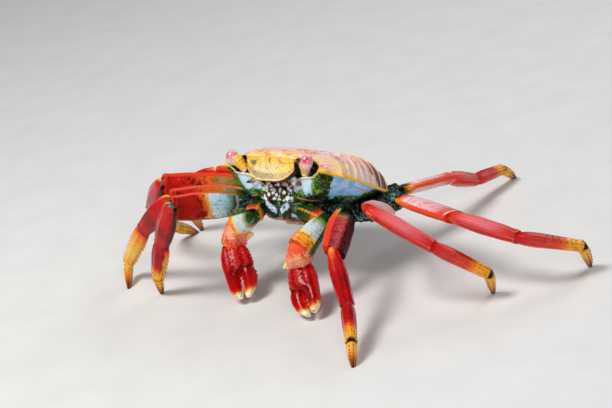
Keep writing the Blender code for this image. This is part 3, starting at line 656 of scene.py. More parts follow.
def plate_paint(bare):
    """Yellow and orange, with a grey-green patch on its right and dark ticks over the bright rim."""
    row, column, side = bare["row"], bare["column"], bare["side"]
    grain, coarse, fine = bare["grain"], bare.noise(260.0, 4.0), bare.noise(1100.0)
    colour = (coarse * 0.6 + fine * 0.4).ramp(
        {0.40: 0xf2a832, 0.48: 0xface2c, 0.58: 0xfcd85a, 0.7: 0xfacc96})
    centre = row.step(0.1, 0.5) * abs(column * 0.5 + coarse * 1.4 - 0.7).step(0.55, 0.15)
    colour = colour.lay(
        centre * 0.75, 0xfaeaba,
        (coarse * 0.5 + fine * 0.5).step(0.5, 0.42) * 0.55, 0xce7832,
        (grain + fine - 0.5).step(0.3, 0.8) * 0.5, 0xfeea96,
        (row + coarse * 0.3 - 0.15).step(0.13, 0.0) * 0.8, 0xf6a46e)
    patch = (abs(column + 0.66) * 4.2 + abs(row - 0.33) * 4.0 + coarse * 2.4 - 1.2).step(0.8, 0.45)
    colour = colour.lay(patch * 0.85, 0x607454)
    band = (row + coarse * 0.3 - 0.15).step(0.62, 0.74) * row.step(0.93, 0.88)
    wash = band * (column * 0.6 + coarse * 1.8 - 0.9).step(0.25, -0.35)
    colour = colour.lay(
        band * 0.7, 0xdeba8a,
        wash * 0.6, 0x888460)
    ticks = (side * 6.4 + coarse * 12.0).math("SINE").step(0.25, 0.75) * band * fine.step(0.44, 0.54)
    colour = colour.lay(
        ticks * 0.75, 0x464a34,
        (bare["rim"] + fine * 0.3).step(0.7, 1.0) * row.step(0.2, 0.5), 0xfede46)
    # The plate's side walls and the underside of its foot are painted dark brown: painted shade.
    beyond = row.step(0.976, 0.984).math("MAXIMUM", abs(column).step(0.984, 0.992) * row.step(0.1, 0.3))
    colour = colour.lay(beyond, 0x2e1e10)
    return colour.lay(abs(side).step(0.4, 0.2) * row.step(0.34, 0.24), 0x785432)


own(plate, None, finish("front plate shell", plate_paint, 0.34, 0.2, 0.15, shell_bump, 0.08))


# The eyes. Each is a glossy pink bulb on a short stalk, orange on its inner side and white below, which
# folds back into the dark socket between the front plate and the shell's first tooth.
def eased(rows, at, column):
    """One column of a profile at these places along it, with its corners rounded. A lift left out is 0."""
    rows = np.array([(*row, 0)[:4] for row in rows], float)
    fine = np.linspace(rows[0, 0], rows[-1, 0], 241)
    values = np.interp(fine, rows[:, 0], rows[:, column])
    window = np.hanning(25)[1:-1] / np.hanning(25).sum()
    wide = np.pad(values, 11, mode="reflect", reflect_type="odd")
    return np.interp(at, fine, np.convolve(wide, window, "valid"))


# The share of a segment's rings that closes it at each end
CAP = 0.05


def limb_form(name, start, end, crest, profile, height, thickness, relief=None, segments=72, rings=110,
              fullness=2.3, taper=0.25, cup=0.0, lips=0.0, front=1):
    """A segment from a sphere: rounded at its root, and open as a shallow cup, with two lips, at its end."""
    piece = sphere(name, segments, rings)
    share, turn = polar(piece)
    c, s = np.cos(turn), np.sin(turn)
    length = (end - start).length / MM
    first, last = profile[0][0], profile[-1][0]
    inner = np.clip((share - CAP) / (1 - 2 * CAP), 0, 1)
    along = first + (last - first) * inner
    closing = np.clip(np.minimum(share, 1 - share) / CAP, 0, 1)
    closing = np.sqrt(1 - (1 - closing) ** 2)
    tall, thick, lift = (eased(profile, along, column) for column in (1, 2, 3))
    x = np.sign(c) * np.abs(c) ** (2 / fullness) * (1 - taper * np.maximum(s, 0))
    y = np.sign(s) * np.abs(s) ** (2 / fullness)
    axis = (end - start).normalized()
    across = axis.cross(crest).normalized()
    way_up = across.cross(axis)
    raised = relief(along, along * length, c, s, y * height / 2) if relief else np.zeros(len(c))
    half_wide, half_tall = thick * thickness / 2, tall * height / 2
    out_x, out_y = c / np.maximum(half_wide, 0.1), s / np.maximum(half_tall, 0.1)
    out_length = np.hypot(out_x, out_y)
    aside = (x * half_wide + raised * out_x / out_length) * closing
    upward = (y * half_tall + raised * out_y / out_length) * closing + lift * height
    ending = rise(share, 1 - CAP * 2.2, 1 - CAP)
    far = along * length + lips * ending * closing * (np.abs(c) ** 3 + 0.6 * np.maximum(s, 0) ** 2 - 0.35)
    far -= cup * (share > 1 - CAP) * (1 - closing)
    co = np.array(start) + (far[:, None] * np.array(axis) + aside[:, None] * np.array(across)
                            + upward[:, None] * np.array(way_up)) * MM
    move_points(piece, co)
    mark(piece, along=along, edge=y, face=x * front, relief=raised)
    return piece


EYE_CENTRES = {"left": (21.0, 29.8, 4.0), "right": (25.6, 28.6, 4.0)}
EYE_RADII = (3.1, 3.1, 4.0)
STALK_FOOT = (17.8, 25.6, -1.5)
STALK_SPOT = (0.35, 0.93, 0.12)


def eye_paint(bare):
    """Pink, deeper towards a red spot in front, and paler near the stalk."""
    spot, low = bare["spot"], bare["low"]
    fine = bare.noise(800.0)
    colour = bare.mix(spot.step(0.72, 1.02), 0xec8e96, 0xda4258)
    colour = colour.lay(low.step(-0.1, -0.7) * 0.8, 0xf6cece)
    return bare.mix((low + fine * 0.2).step(0.72, 0.95) * 0.5, colour, 0xfac4c4)


def stalk_paint(bare):
    """Orange towards the middle of the face, white below."""
    ragged = bare.noise(500.0) * 0.4 - 0.2
    white = bare.mix(bare.noise(900.0).step(0.56, 0.66) * 0.5, 0xeceeea, 0x788264)
    colour = bare.mix((bare["inner"] + ragged).step(-0.9, -0.4), white, 0xfcb832)
    return bare.mix((bare["height"] + ragged).step(-0.9, -1.2), colour, white)


bulb_finish = finish("eye bulb", eye_paint, 0.10, 0.8, 0.04)
stalk_finish = finish("eye stalk", stalk_paint, 0.28, 0.3, 0.1, shell_bump, 0.06)
for side, sign in SIDES.items():
    x, y, z = EYE_CENTRES[side]
    place = (x * sign, y, z + 0.2)
    bulb = body_ball(f"eye_{side}_bulb", place, EYE_RADII, 64, 48)
    local = (points_of(bulb) - np.array(body_point(*place))) @ TURN / MM * (sign, -1, 1)
    facing = local / np.linalg.norm(local, axis=1)[:, None]
    spot = facing @ np.array(STALK_SPOT) + 0.1 * facing[:, 2]
    mark(bulb, spot=spot if side == "left" else spot * 0.88, low=facing[:, 2])
    own(bulb, f"eye_{side}", bulb_finish)
    foot = body_point(STALK_FOOT[0] * sign, *STALK_FOOT[1:])
    seat = body_point((x - 1.1) * sign, y - 0.4, z + 0.6)
    stalk = limb_form(
        f"eye_{side}_stalk", foot, seat, BODY_TURN @ Vector((0, 1, 0)),
        ((0.0, 0.62, 0.62), (0.3, 0.76, 0.78), (0.6, 0.98, 0.98), (0.8, 1.0, 1.0), (0.97, 0.8, 0.8)),
        6.0, 6.0, lambda t, u, c, s, v: 0.1 * np.sin(u * 3.4), 48, 48, 2.0, 0.0, front=sign)
    inner = (points_of(stalk) - np.array(foot.lerp(seat, 0.5))) @ TURN / MM
    mark(stalk, inner=-inner[:, 0] * sign / 3.0, height=inner[:, 2] / 3.0)
    own(stalk, None, stalk_finish)


# The feelers and the front of the mouth. Under the plate the two small inner feelers fold into pits, the
# outer ones stand on white knobs beside them, and two hinged doors of hard shell close the mouth.
CRIMSON, DEEP, SCARLET, FLAME = 0xba1218, 0x62060e, 0xd82c1e, 0xf06828
AMBER, CREAM, ROSE, BLACK = 0xf6a628, 0xfce4a0, 0xe87068, 0x0e0c0c


def limb_paint(front, rear, crest, under, mottles=0.5, mottle_colour=DEEP, streak=ROSE, streaks=0.5,
               crest_from=0.84, under_from=-0.8, slant=0.0, seam=-1.0):
    """Colours along a segment's front and rear face, its crest and its underside, mottled and streaked."""
    def paint(bare):
        along, edge, relief = bare["along"], bare["edge"], bare["relief"]
        coarse, fine, wide = bare.noise(230.0, 4.0), bare.noise(1000.0), bare.noise(95.0, 2.0)
        place = along + coarse * 0.12 + fine * 0.06 + wide * 0.16 - 0.17 + edge * slant
        facing = (bare["face"] + coarse * 0.3 - 0.15).step(-0.2, 0.2)
        colour = bare.mix(facing, place.ramp(rear), place.ramp(front))
        spots = (coarse * 0.6 + fine * 0.4).step(0.52, 0.58) * mottles
        mottled = place.ramp(mottle_colour) if isinstance(mottle_colour, dict) else mottle_colour
        return colour.lay(
            spots, mottled,
            # The streak colour follows the raised keels, striae and granules: partly their own colour,
            # partly a painted highlight where it is lighter than the shell.
            (relief * 4.0 + fine * 0.5 - 0.4).step(0.3, 1.0) * streaks, streak,
            (edge + fine * 0.1).step(crest_from, crest_from + 0.13), place.ramp(crest),
            (edge + coarse * 0.3 - 0.15).step(under_from, under_from - 0.15), place.ramp(under),
            (along + fine * 0.02 - 0.01).step(seam + 0.01, seam - 0.01), BLACK)
    return paint


def limb_gloss(bare):
    return bare.noise(400.0) * 0.16 + 0.12


def leg_finish(name, paint, coat):
    return finish(name, paint, limb_gloss, coat, 0.05, shell_bump, 0.03, 0.08)


def shells(table):
    """The finishes of a table. A row has the coat, then what limb_paint() takes."""
    return {name: leg_finish(name, limb_paint(*paint), coat) for name, (coat, *paint) in table.items()}


ANTENNA_POINTS = ((12.6, 21.0, -5.6), (13.4, 24.6, -6.2), (14.2, 26.8, -6.6), (15.4, 28.8, -7.4))
FEELER_PROFILE = (
    (0.0, 1.0, 1.0), (0.45, 0.95, 0.95, 0.06), (0.6, 0.7, 0.7, 0.08), (0.8, 0.5, 0.5, 0.04),
    (1.0, 0.24, 0.24),
)
MOUTH_TOP, MOUTH_FOOT = (4.6, 23.4, -9.6), (4.0, 18.6, -23.0)
MOUTH_SIZE = (7.0, 3.6)
DOOR_PROFILE = ((0, 0.5, 0.6), (0.08, 0.86, 0.9), (0.3, 1, 1), (0.7, 0.92, 1), (1.0, 0.6, 0.7))
knob_finish = finish("white knobs", lambda bare: (bare.noise(420.0, 4.0) + bare.cells(700.0) * 0.3).ramp(
    {0.42: 0x3c5032, 0.52: 0xd6dad6, 0.8: 0xf4eeec}), 0.22, 0.4)
pink_finish = finish("pink feelers", lambda bare: bare.noise(600.0).ramp(
    {0.4: 0x963c46, 0.55: 0xe2a0a0, 0.7: 0xf6e2dc}), 0.25, 0.3)
feeler_finish = finish("feeler rings", lambda bare: bare.noise(500.0).ramp(
    {0.4: INK, 0.52: 0x786846, 0.64: 0xdcd6c8}), 0.3)


def door_relief(t, u, c, s, v):
    """A long groove in each door and a cross seam near its top."""
    return -0.4 * hill(v - 0.6, 0.5) - 0.45 * hill(t - 0.62, 0.03) + 0.1 * np.sin(v * 3 + u)


DOOR_FACE = {0.0: INK, 0.37: INK, 0.44: 0x3c4632, 0.49: 0xc4daec, 0.68: 0xcee2f4, 0.72: MOSS,
             0.84: 0x282c1e, 0.94: 0x503422, 1.0: 0x6e3e24}
lower_door_paint = limb_paint(
    DOOR_FACE, DOOR_FACE, {0.0: INK, 1.0: 0x28281e}, {0.0: INK, 0.7: INK, 1.0: 0x784628},
    0.75, 0x142416, 0x463c32, 0.3, 0.9, -0.9, 0.16)


def door_paint(bare):
    ragged = bare["along"] + bare.noise(300.0) * 0.16 - 0.08
    return bare.mix(ragged.step(0.38, 0.34), lower_door_paint(bare), mosaic(bare))


door_finishes = {side: leg_finish(f"{side} mouth door", door_paint, 0.16) for side in SIDES}
for side, sign in SIDES.items():
    points = [body_point(left * sign, fore, up) for left, fore, up in ANTENNA_POINTS]
    feeler = limb_form(
        f"antenna_{side}_whip", points[0], points[3], BODY_TURN @ Vector((0, 0, 1)),
        FEELER_PROFILE,
        2.7, 2.7, lambda t, u, c, s, v: 0.09 * np.sin(u * 7), 32, 90, 2.0, 0.0)
    own(feeler, f"antenna_{side}", feeler_finish)
    knobs = (("outer", (10.9, 24.9, -4.9), (1.7, 1.8, 2.1), knob_finish),
             ("cheek", (13.4, 23.6, -7.4), (1.5, 1.6, 1.3), knob_finish),
             ("inner", (4.9, 24.4, -6.6), (1.25, 1.4, 1.3), pink_finish))
    for name, (left, fore, up), radii, paint in knobs:
        knob = body_ball(f"antenna_{side}_{name}_knob", (left * sign, fore, up), radii, 40, 28)
        co = points_of(knob)
        away = co - co.mean(0)
        move_points(knob, co + away * 0.07 * mottle(co, 1.6, 4)[:, None])
        own(knob, None, paint)
    start, end = (body_point(left * sign, fore, up) for left, fore, up in (MOUTH_TOP, MOUTH_FOOT))
    door = limb_form(f"maxilliped_{side}_shell", start, end, BODY_TURN @ Vector((sign, 0, 0)), DOOR_PROFILE,
                     *MOUTH_SIZE, door_relief, 72, 90, 2.6, 0.0, front=-sign)
    own(door, f"maxilliped_{side}", door_finishes[side])


# The underside. The breast is a hard flat shield between the legs, dark blue-green at its flanks with pale
# specks and crossed by a seam for each pair of legs. The jointed tail flap is folded forward under it.
STERNUM_HALF_WIDTH, STERNUM_FORE, STERNUM_REAR = 15.0, 15.0, -23.0
STERNUM_UP = (-24.2, -18.0)
BELLY_BULGE, STERNUM_DISH, BELLY_GAP = 1.6, 1.4, 0.36
breast = sphere("thorax_shell", 256, 130)
share, turn = polar(breast)
hem, = round_body(turn, hem_line)
middle, reach = (STERNUM_FORE + STERNUM_REAR) / 2, (STERNUM_FORE - STERNUM_REAR) / 2
hem_turn = np.arctan2(hem[:, 0], hem[:, 1] - middle)
shield_fore = middle + reach * np.cos(hem_turn)
rear_share = (STERNUM_FORE - shield_fore) / (2 * reach)
shield_up = STERNUM_UP[0] + (STERNUM_UP[1] - STERNUM_UP[0]) * rear_share ** 2
shield = np.column_stack([STERNUM_HALF_WIDTH * np.sin(hem_turn), shield_fore, shield_up])
top = np.array(HEM_CENTRE)
flank = np.clip((share - 0.1) / 0.55, 0, 1)
inward = np.clip((share - 0.65) / 0.35, 0, 1)
body = np.where((share < 0.1)[:, None], top + (hem - top) * (share[:, None] / 0.1),
                hem + (shield - hem) * flank[:, None])
body[:, 2] -= BELLY_BULGE * np.sin(math.pi * flank) + BELLY_GAP * (1 - flank)
centre = np.array((0.0, middle, STERNUM_UP[0] + STERNUM_DISH))
body += (centre - shield) * inward[:, None]
left, fore, up = body.T
seams = sum(hill(fore - at + 0.12 * np.abs(left), 0.5) for at in (9.0, 1.5, -6.0, -13.0))
grain = mottle(to_world(*body.T), 2.2, 9) * rise(share, 0.7, 0.5)
body[:, 2] += 0.7 * seams * rise(share, 0.6, 0.7) * (1 - inward * 0.8) - 0.22 * grain * (share > 0.1)
move_points(breast, to_world(*body.T))
mark(breast, share=share, seam=seams, fore=fore, left=left)


def breast_paint(bare):
    """Dark blue-green with silver specks at the flanks, an orange front edge, and a pale mottled shield."""
    share, fine, coarse = bare["share"], bare.noise(900.0), bare.noise(220.0, 4.0)
    fore, left = bare["fore"], bare["left"]
    # The flanks' near-black ground is their own dark blue-green, deepened with painted shade where they lie
    # recessed under the hem.
    flank = bare.mix((fine * 0.6 + coarse * 0.4).step(0.53, 0.62), 0x0a1a14, 0x809090)
    leafy = (share + coarse * 0.5 - 0.25).step(0.42, 0.3) * (coarse * 0.5 + fine * 0.5).step(0.46, 0.54)
    flank = flank.lay(leafy, bare.mix(coarse.step(0.5, 0.58), 0x1e4614, 0x609232))
    front = (fore + coarse * 8.0 - 4.0).step(13.0, 18.0) * share.step(0.44, 0.54)
    flank = flank.lay(front * 0.8, (coarse + fine * 0.3).ramp(
        {0.45: 0x3c2818, 0.6: 0xce7846, 0.75: 0xecbe96}))
    slope = abs(share - abs(left) * 0.018 - 0.24 + coarse * 0.06 - 0.03).step(0.06, 0.05)
    flank = flank.lay(slope * left.step(5.0, 6.0) * left.step(13.5, 12.5), 0xbed8ec)
    pale = (coarse * 0.7 + fine * 0.3).ramp(
        {0.4: 0x96aa96, 0.5: 0xd6d8c8, 0.62: 0xecceaa, 0.7: 0xe2966e})
    pale = pale.lay(bare["seam"].step(0.3, 0.9) * 0.7, 0x6e5042)
    return bare.mix((share + coarse * 0.1).step(0.66, 0.74), flank, pale)


own(breast, "thorax",
    finish("breast shield", breast_paint, 0.32, 0.2, 0.1, shell_bump, 0.1))

# Fore, up and half width along the tail flap
FLAP = (
    (-32.2, -12.6, 9.0), (-26.5, -17.0, 11.6), (-17.0, -20.6, 10.6), (-6.0, -23.2, 8.6), (4.0, -24.4, 6.2),
    (11.0, -24.6, 3.4),
)
flap = sphere("abdomen_shell", 96, 150)
share, turn = polar(flap)
c, s = np.cos(turn), np.sin(turn)
place = share * (len(FLAP) - 1)
stations = np.array(FLAP)
fore, up, half = (eased(np.column_stack([np.arange(len(FLAP)), stations[:, index]]), place, 1)
                  for index in range(3))
closing = np.sqrt(np.clip(np.sin(np.minimum(np.minimum(share, 1 - share) * 12, 1) * math.pi / 2), 0, 1))
joints_of_flap = np.abs((share * 6.5) % 1 - 0.5) * 2
ridge = rise(joints_of_flap, 0.75, 0.95)
wide = np.sign(c) * np.abs(c) ** 0.6 * half * closing
thick = np.sign(s) * np.abs(s) ** 0.6 * 1.15 * closing * (1 - 0.3 * ridge)
move_points(flap, to_world(wide, fore, up + thick + 0.25 * (np.abs(c) < 0.5) * closing))
mark(flap, seam=ridge)


def flap_paint(bare):
    coarse, fine = bare.noise(240.0, 4.0), bare.noise(900.0)
    colour = (coarse * 0.7 + fine * 0.3).ramp(
        {0.4: 0xc4785a, 0.5: 0xe8bea0, 0.6: 0xd6dad6, 0.7: 0xaabebe})
    return bare.mix(bare["seam"].step(0.2, 0.9) * 0.75, colour, 0x603c32)


own(flap, "abdomen", finish("tail flap shell", flap_paint, 0.34, 0.2, 0.1, shell_bump, 0.08))


# The hips and legs. Each leg is a row of hard hollow segments: a dark hip set into the body, a broad flat
# thigh, a ridged shin, and a foot in two pieces that ends in a horny spike. Soft dark skin joins them.
def heading(side, degrees, climb):
    """A unit vector by its heading from straight out to the side and its climb, in degrees."""
    degrees, climb = math.radians(degrees), math.radians(climb)
    out = math.cos(degrees) * math.cos(climb)
    return Vector((out * SIDES[side], -math.sin(degrees) * math.cos(climb), math.sin(climb)))


def leg_crest(side, degrees, lean):
    """The way a leg's crest points: up, leaning to the rear by so many degrees."""
    degrees, lean = math.radians(degrees), math.radians(lean)
    ahead = Vector((-math.sin(degrees) * SIDES[side], -math.cos(degrees), 0))
    return Vector((0, 0, math.cos(lean))) - ahead * math.sin(lean)


LEG_LENGTHS = {
    1: (42.0, 27.0, 22.4, 12.4), 2: (46.9, 32.2, 28.7, 16.1),
    3: (50.4, 32.9, 31.5, 16.8), 4: (39.2, 21.7, 23.1, 13.3),
}
LEG_HEIGHTS = {
    1: (13.4, 11.4, 10.4, 5.6), 2: (14.0, 11.2, 9.4, 5.8),
    3: (13.4, 10.6, 9.0, 5.8), 4: (10.8, 8.8, 7.2, 5.0),
}
SEGMENT_THICKNESS = (6.0, 7.6, 6.4, 4.6)
LEG_ROOTS = {1: (32.2, 9.1, -18.0), 2: (43.0, -8.5, -14.0), 3: (44.5, -17.5, -8.3), 4: (35.5, -28.5, -4.0)}
HIP_STARTS = {1: (19.0, 9.0, -19.0), 2: (21.5, -2.6, -17.6), 3: (21.0, -13.0, -15.6),
              4: (17.0, -22.0, -13.0)}
HIP_SIZES = {1: (11.0, 8.2), 2: (11.0, 8.0), 3: (10.6, 7.6), 4: (9.4, 7.4)}
# Heading, climb and crest lean of thigh, shin and foot, then the spike's heading, in degrees
LEG_POSE = {
    ("left", 1): ((65, -2.8, -45), (48, -43, -12), (56, -23, 5), 61),
    ("right", 1): ((73, 20, 5), (-11, -54, 0), (-10, -62, 0), -48),
    ("left", 2): ((61, 21, -45), (-9, -33, -45), (-33, -39, -45), -123),
    ("right", 2): ((72, 20, 5), (-8, -35, 0), (-8, -47, 0), 120),
    ("left", 3): ((26, 3, -75), (-2, -15, -50), (-47, -24, -50), -108),
    ("right", 3): ((50, 19, 0), (-30, -36, 0), (-71, -44, 0), -99),
    ("left", 4): ((-84, -14, -70), (-84, -26, -60), (-83, -9, -70), -83),
    ("right", 4): ((8, 9, -20), (1, -16, -10), (-26, -63, 0), -112),
}
FOOT_SINK = 0.7
HIP_PROFILE = ((0, 0.8, 0.8), (0.4, 0.95, 1), (0.75, 1, 1), (0.95, 0.96, 0.92), (1.02, 0.8, 0.8))
THIGH_PROFILE = (
    (-0.07, 0.3, 0.44), (-0.03, 0.52, 0.7), (0.1, 0.78, 0.94, 0.01), (0.35, 1, 1, 0.03),
    (0.72, 1, 1, 0.02), (0.9, 0.92, 1), (0.985, 0.86, 0.98),
)
SHIN_PROFILE = (
    (-0.085, 0.42, 0.56), (-0.045, 0.6, 0.72), (0.02, 0.7, 0.8, 0.02), (0.14, 0.82, 0.88, 0.03),
    (0.42, 1, 1, 0.03), (0.78, 0.88, 0.92, 0.01), (0.985, 0.7, 0.8),
)
FOOT_PROFILE = (
    (-0.09, 0.46, 0.5), (-0.04, 0.68, 0.72), (0.02, 0.84, 0.86), (0.12, 0.95, 0.95, 0.01),
    (0.3, 1, 1, 0.01), (0.86, 0.74, 0.84), (0.985, 0.67, 0.78),
)
SPIKE_PROFILE = (
    (-0.12, 0.6, 0.66), (-0.04, 0.86, 0.9), (0.08, 1, 1, 0.02), (0.2, 1, 1, 0.04), (0.6, 0.72, 0.74, 0.06),
    (0.84, 0.42, 0.44, 0.02), (1.0, 0.2, 0.24, -0.04),
)


def keels(s, c, breadth, *turns):
    """1 along lines at those turns round a segment, in degrees from its front, fading away from them."""
    apart = [(np.degrees(np.arctan2(s, c)) - at + 180) % 360 - 180 for at in turns]
    return sum(hill(way, breadth) for way in apart)


def thigh_relief(t, u, c, s, v):
    """Broken cross lines on the broad faces, a smooth bead on the crest and two low ridges below."""
    line = u + 0.35 * v + 0.5 * np.sin(u * 0.9 + v * 1.3) + 0.35 * np.sin(v * 2.1 - u * 0.4)
    phase = (line / 1.25) % 1.0
    broken = rise(np.sin(v * 1.7 + 2.7 * np.sin(u * 0.83)), -0.4, 0.5)
    cross = rise(phase, 0.0, 0.6) * rise(phase, 0.98, 0.75) * broken * rise(np.abs(c), 0.25, 0.6)
    crest = keels(s, c, 13, 90) * rise(t, 0.02, 0.12)
    low = keels(s, c, 9, -55, -125)
    rim = hill(t - 0.955, 0.018)
    return 0.1 * cross + 0.32 * crest + 0.22 * low + 0.25 * rim


def shin_relief(t, u, c, s, v):
    """Two long keels on each face and a bead on the crest, with fine cross lines between them."""
    long = keels(s, c, 8, 52, 128, 12, 168, -40, -140) * rise(t, 0.05, 0.2)
    crest = keels(s, c, 11, 90)
    cross = rise(np.sin(u * 3.0 + 1.4 * np.sin(v * 1.3)), 0.2, 0.9) * 0.04
    rim = hill(t - 0.96, 0.02)
    return 0.36 * long + 0.3 * crest + cross + 0.22 * rim


def foot_relief(t, u, c, s, v):
    """Long keels with sunk rows between them, in which the bristles stand."""
    long = keels(s, c, 9, 90, 40, 140, 0, 180, -42, -138, -90)
    return 0.3 * long * rise(t, 0.0, 0.15) + 0.15 * hill(t - 0.955, 0.02)


def hip_relief(t, u, c, s, v):
    return 0.25 * np.sin(u * 2.2 + c * 2.0) * rise(np.abs(c), 0.1, 0.5) + 0.2 * np.sin(v * 2.5 + u)


BLUE_START = {0.02: INK, 0.06: MOSS, 0.10: 0xc4cebe, 0.14: MOSS, 0.20: 0x96b8aa, 0.26: 0xc4f4ff,
              0.46: 0xd4f8ff, 0.50: 0xecc86e, 0.56: FLAME, 0.64: 0xbe2818, 1.0: 0x961012}
MIXED_START = {0.04: INK, 0.12: 0x3c5a1e, 0.24: 0x96963c, 0.4: 0xe28228, 0.55: FLAME, 0.7: SCARLET,
               1.0: CRIMSON}
BLUE_MOTTLES = {0.1: INK, 0.2: 0x326028, 0.27: 0x78bed2, 0.36: 0x82b4aa, 0.44: 0x5a8232, 0.5: 0xaa5014,
                0.6: 0x600c0a, 1.0: 0x3c0608}
RED_START = {0.10: INK, 0.17: 0x324c14, 0.22: 0x967828, 0.27: 0xc83c18, 0.40: CRIMSON, 1.0: 0xa00c12}
# Pale pink for the thighs' faces: the shell's own pink, paled further with painted sheen.
PINK_AND_SHEEN = {0.02: INK, 0.08: 0x783c28, 0.14: FLAME, 0.22: 0xf8ccce, 0.7: 0xf2b4b8, 0.88: 0xe25a54, 1.0: SCARLET}
ORANGE_CREST = {0.02: INK, 0.08: AMBER, 0.16: FLAME, 0.4: 0xe84626, 1.0: 0xe24026}
ORANGE_LOW = {0.02: INK, 0.1: 0xaa6e1e, 0.2: FLAME, 1.0: FLAME}
RED_SHIN = {0.0: 0xd22214, 0.12: 0xd40c0a, 0.4: 0xbe0204, 0.58: 0x8c0002, 0.8: 0xc40406, 1.0: 0x9c0004}
RED_CREST = {0.0: AMBER, 0.08: FLAME, 0.24: 0xc42c1c, 0.5: 0xb01414, 1.0: 0xa00e10}
LOW_SHIN = {0.0: FLAME, 0.12: SCARLET, 0.5: 0xd4221c, 0.9: 0xd62e1c, 1.0: CRIMSON}
# Red at both ends and pink between: a painted pink highlight for the top and rear face of the pink shins.
PINK_HIGHLIGHT = {0.0: SCARLET, 0.2: 0xe46062, 0.5: 0xe0707a, 0.85: 0xd23e40, 1.0: CRIMSON}
FOOT_TOP = {0.0: 0xba0206, 0.3: 0xa40004, 0.54: 0xb0140e, 0.62: SCARLET, 0.68: FLAME, 0.76: AMBER,
            0.95: 0xf4b03c, 1.0: 0x321a0a}
LONG_FOOT = {0.0: 0xce1e1e, 0.3: 0xd23832, 0.55: 0xd84628, 0.66: FLAME, 0.78: AMBER, 0.96: AMBER,
             1.0: 0x3c1e0a}
GOLD_FOOT = {0.0: SCARLET, 0.08: FLAME, 0.3: AMBER, 0.6: 0xf6be5a, 0.96: AMBER, 1.0: 0x3c1e0a}
FOOT_LOW = {0.0: CRIMSON, 0.15: FLAME, 0.4: AMBER, 0.94: AMBER, 0.99: 0x3c1e0a}
SPIKE = {0.0: 0x28140a, 0.06: AMBER, 0.3: 0xf4b046, 0.6: 0xd67022, 0.8: 0x783814, 1.0: 0x3c1c0e}
DARK_LOW = {0.0: INK, 0.1: MOSS, 0.3: 0x5a2814, 1.0: 0x500a0a}
# Near-black red: dark mottles, and on the left front thigh also painted shade over its lower half.
RED_MOTTLE_AND_SHADE = {0.0: INK, 0.3: 0x46140e, 1.0: 0x40040a}

leg_shells = shells({
    "hip shell": (0.16, {0.0: INK, 0.5: 0x0a1814, 0.85: 0x183228, 1.0: 0x0e1814},
                  {0.0: INK, 0.6: 0x0c1c18, 1.0: 0x142822}, {0.0: INK, 1.0: 0x1e302a},
                  {0.0: INK, 1.0: 0x1e2c2c}, 0.7, 0x9eb0b2, 0x3c504e, 0.6),
    "blue thigh": (0.16, BLUE_START, PINK_AND_SHEEN, ORANGE_CREST, DARK_LOW, 0.85, BLUE_MOTTLES, FLAME, 0.15, 0.9),
    "green and red thigh": (0.16, MIXED_START, PINK_AND_SHEEN, ORANGE_CREST, DARK_LOW, 0.8, BLUE_MOTTLES, FLAME,
                            0.25),
    # The left front thigh is painted near-black red from just below its middle down: painted shade on the
    # face turned from the light.
    "red thigh": (0.16, RED_START, RED_START, ORANGE_CREST, RED_MOTTLE_AND_SHADE, 0.75, RED_MOTTLE_AND_SHADE, 0xce3228, 0.2, 0.7,
                  -0.1),
    # The pink thighs and shins of the left rear legs carry painted sheen, and the shins a painted pink
    # highlight along their top.
    "rosy thigh": (0.16, PINK_AND_SHEEN, PINK_AND_SHEEN, ORANGE_CREST, ORANGE_LOW, 0.4, 0xbe3236, 0xfcd8d0, 0.8),
    "red shin": (0.3, RED_SHIN, RED_SHIN, RED_CREST, DARK_LOW, 0.35, RED_MOTTLE_AND_SHADE, 0xb41818, 0.15, 0.9),
    "rosy shin": (0.3, LOW_SHIN, PINK_HIGHLIGHT, PINK_HIGHLIGHT, ORANGE_LOW, 0.3, CRIMSON, 0xee8270, 0.3, 0.9, -0.9),
    "foot shell": (0.25, FOOT_TOP, FOOT_TOP, FOOT_TOP, FOOT_LOW, 0.5, 0x460406, 0xbe1812, 0.12, 0.84, -0.8),
    "gold foot shell": (0.25, GOLD_FOOT, GOLD_FOOT, GOLD_FOOT, FOOT_LOW, 0.35, 0xbe5a1e, 0xface82, 0.3),
    "two tone foot shell": (0.25, LONG_FOOT, FOOT_TOP, LONG_FOOT, FOOT_LOW, 0.4, 0x821e14, FLAME, 0.15,
                            0.96, -0.5),
    "spike shell": (0.16, SPIKE, SPIKE, SPIKE, SPIKE, 0.35, 0x6e3214, CREAM, 0.3),
})
skin_paint = finish("joint skin", lambda bare: (bare.noise(500.0) + bare.noise(1600.0) * 0.3).ramp(
    {0.45: 0x141e20, 0.7: 0x4a5c62, 0.9: 0x78888c}), 0.35, 0.2)
bristle_paint = finish("bristles", lambda bare: bare.noise(700.0).ramp(
    {0.35: 0x28160c, 0.65: 0x784618}), 0.45)


THORN_SIDES = 6


def thorns(name, places, node, paint):
    """Many small tapered thorns as one mesh: root, tip and width in mm of each."""
    bm = bmesh.new()
    for root, tip, width in places:
        axis = (tip - root).normalized()
        across = axis.orthogonal().normalized()
        over = axis.cross(across)
        turns = [index * math.tau / THORN_SIDES for index in range(THORN_SIDES)]
        ways = [across * math.cos(turn) + over * math.sin(turn) for turn in turns]
        rings = []
        for share, size in ((-0.2, 1.0), (0.4, 0.7), (0.8, 0.34)):
            centre = root.lerp(tip, share)
            rings.append([bm.verts.new(centre + way * width * size * MM / 2) for way in ways])
        point, foot = bm.verts.new(tip), bm.verts.new(root.lerp(tip, -0.25))
        for lower, upper in zip(rings, rings[1:]):
            for index in range(THORN_SIDES):
                bm.faces.new((lower[index], lower[index - 1], upper[index - 1], upper[index]))
        for index in range(THORN_SIDES):
            bm.faces.new((rings[-1][index], rings[-1][index - 1], point))
            bm.faces.new((rings[0][index - 1], rings[0][index], foot))
    bmesh.ops.recalc_face_normals(bm, faces=bm.faces)
    piece = ready("cube", name)
    bm.to_mesh(piece.data)
    bm.free()
    own(piece, node, paint)
    return piece


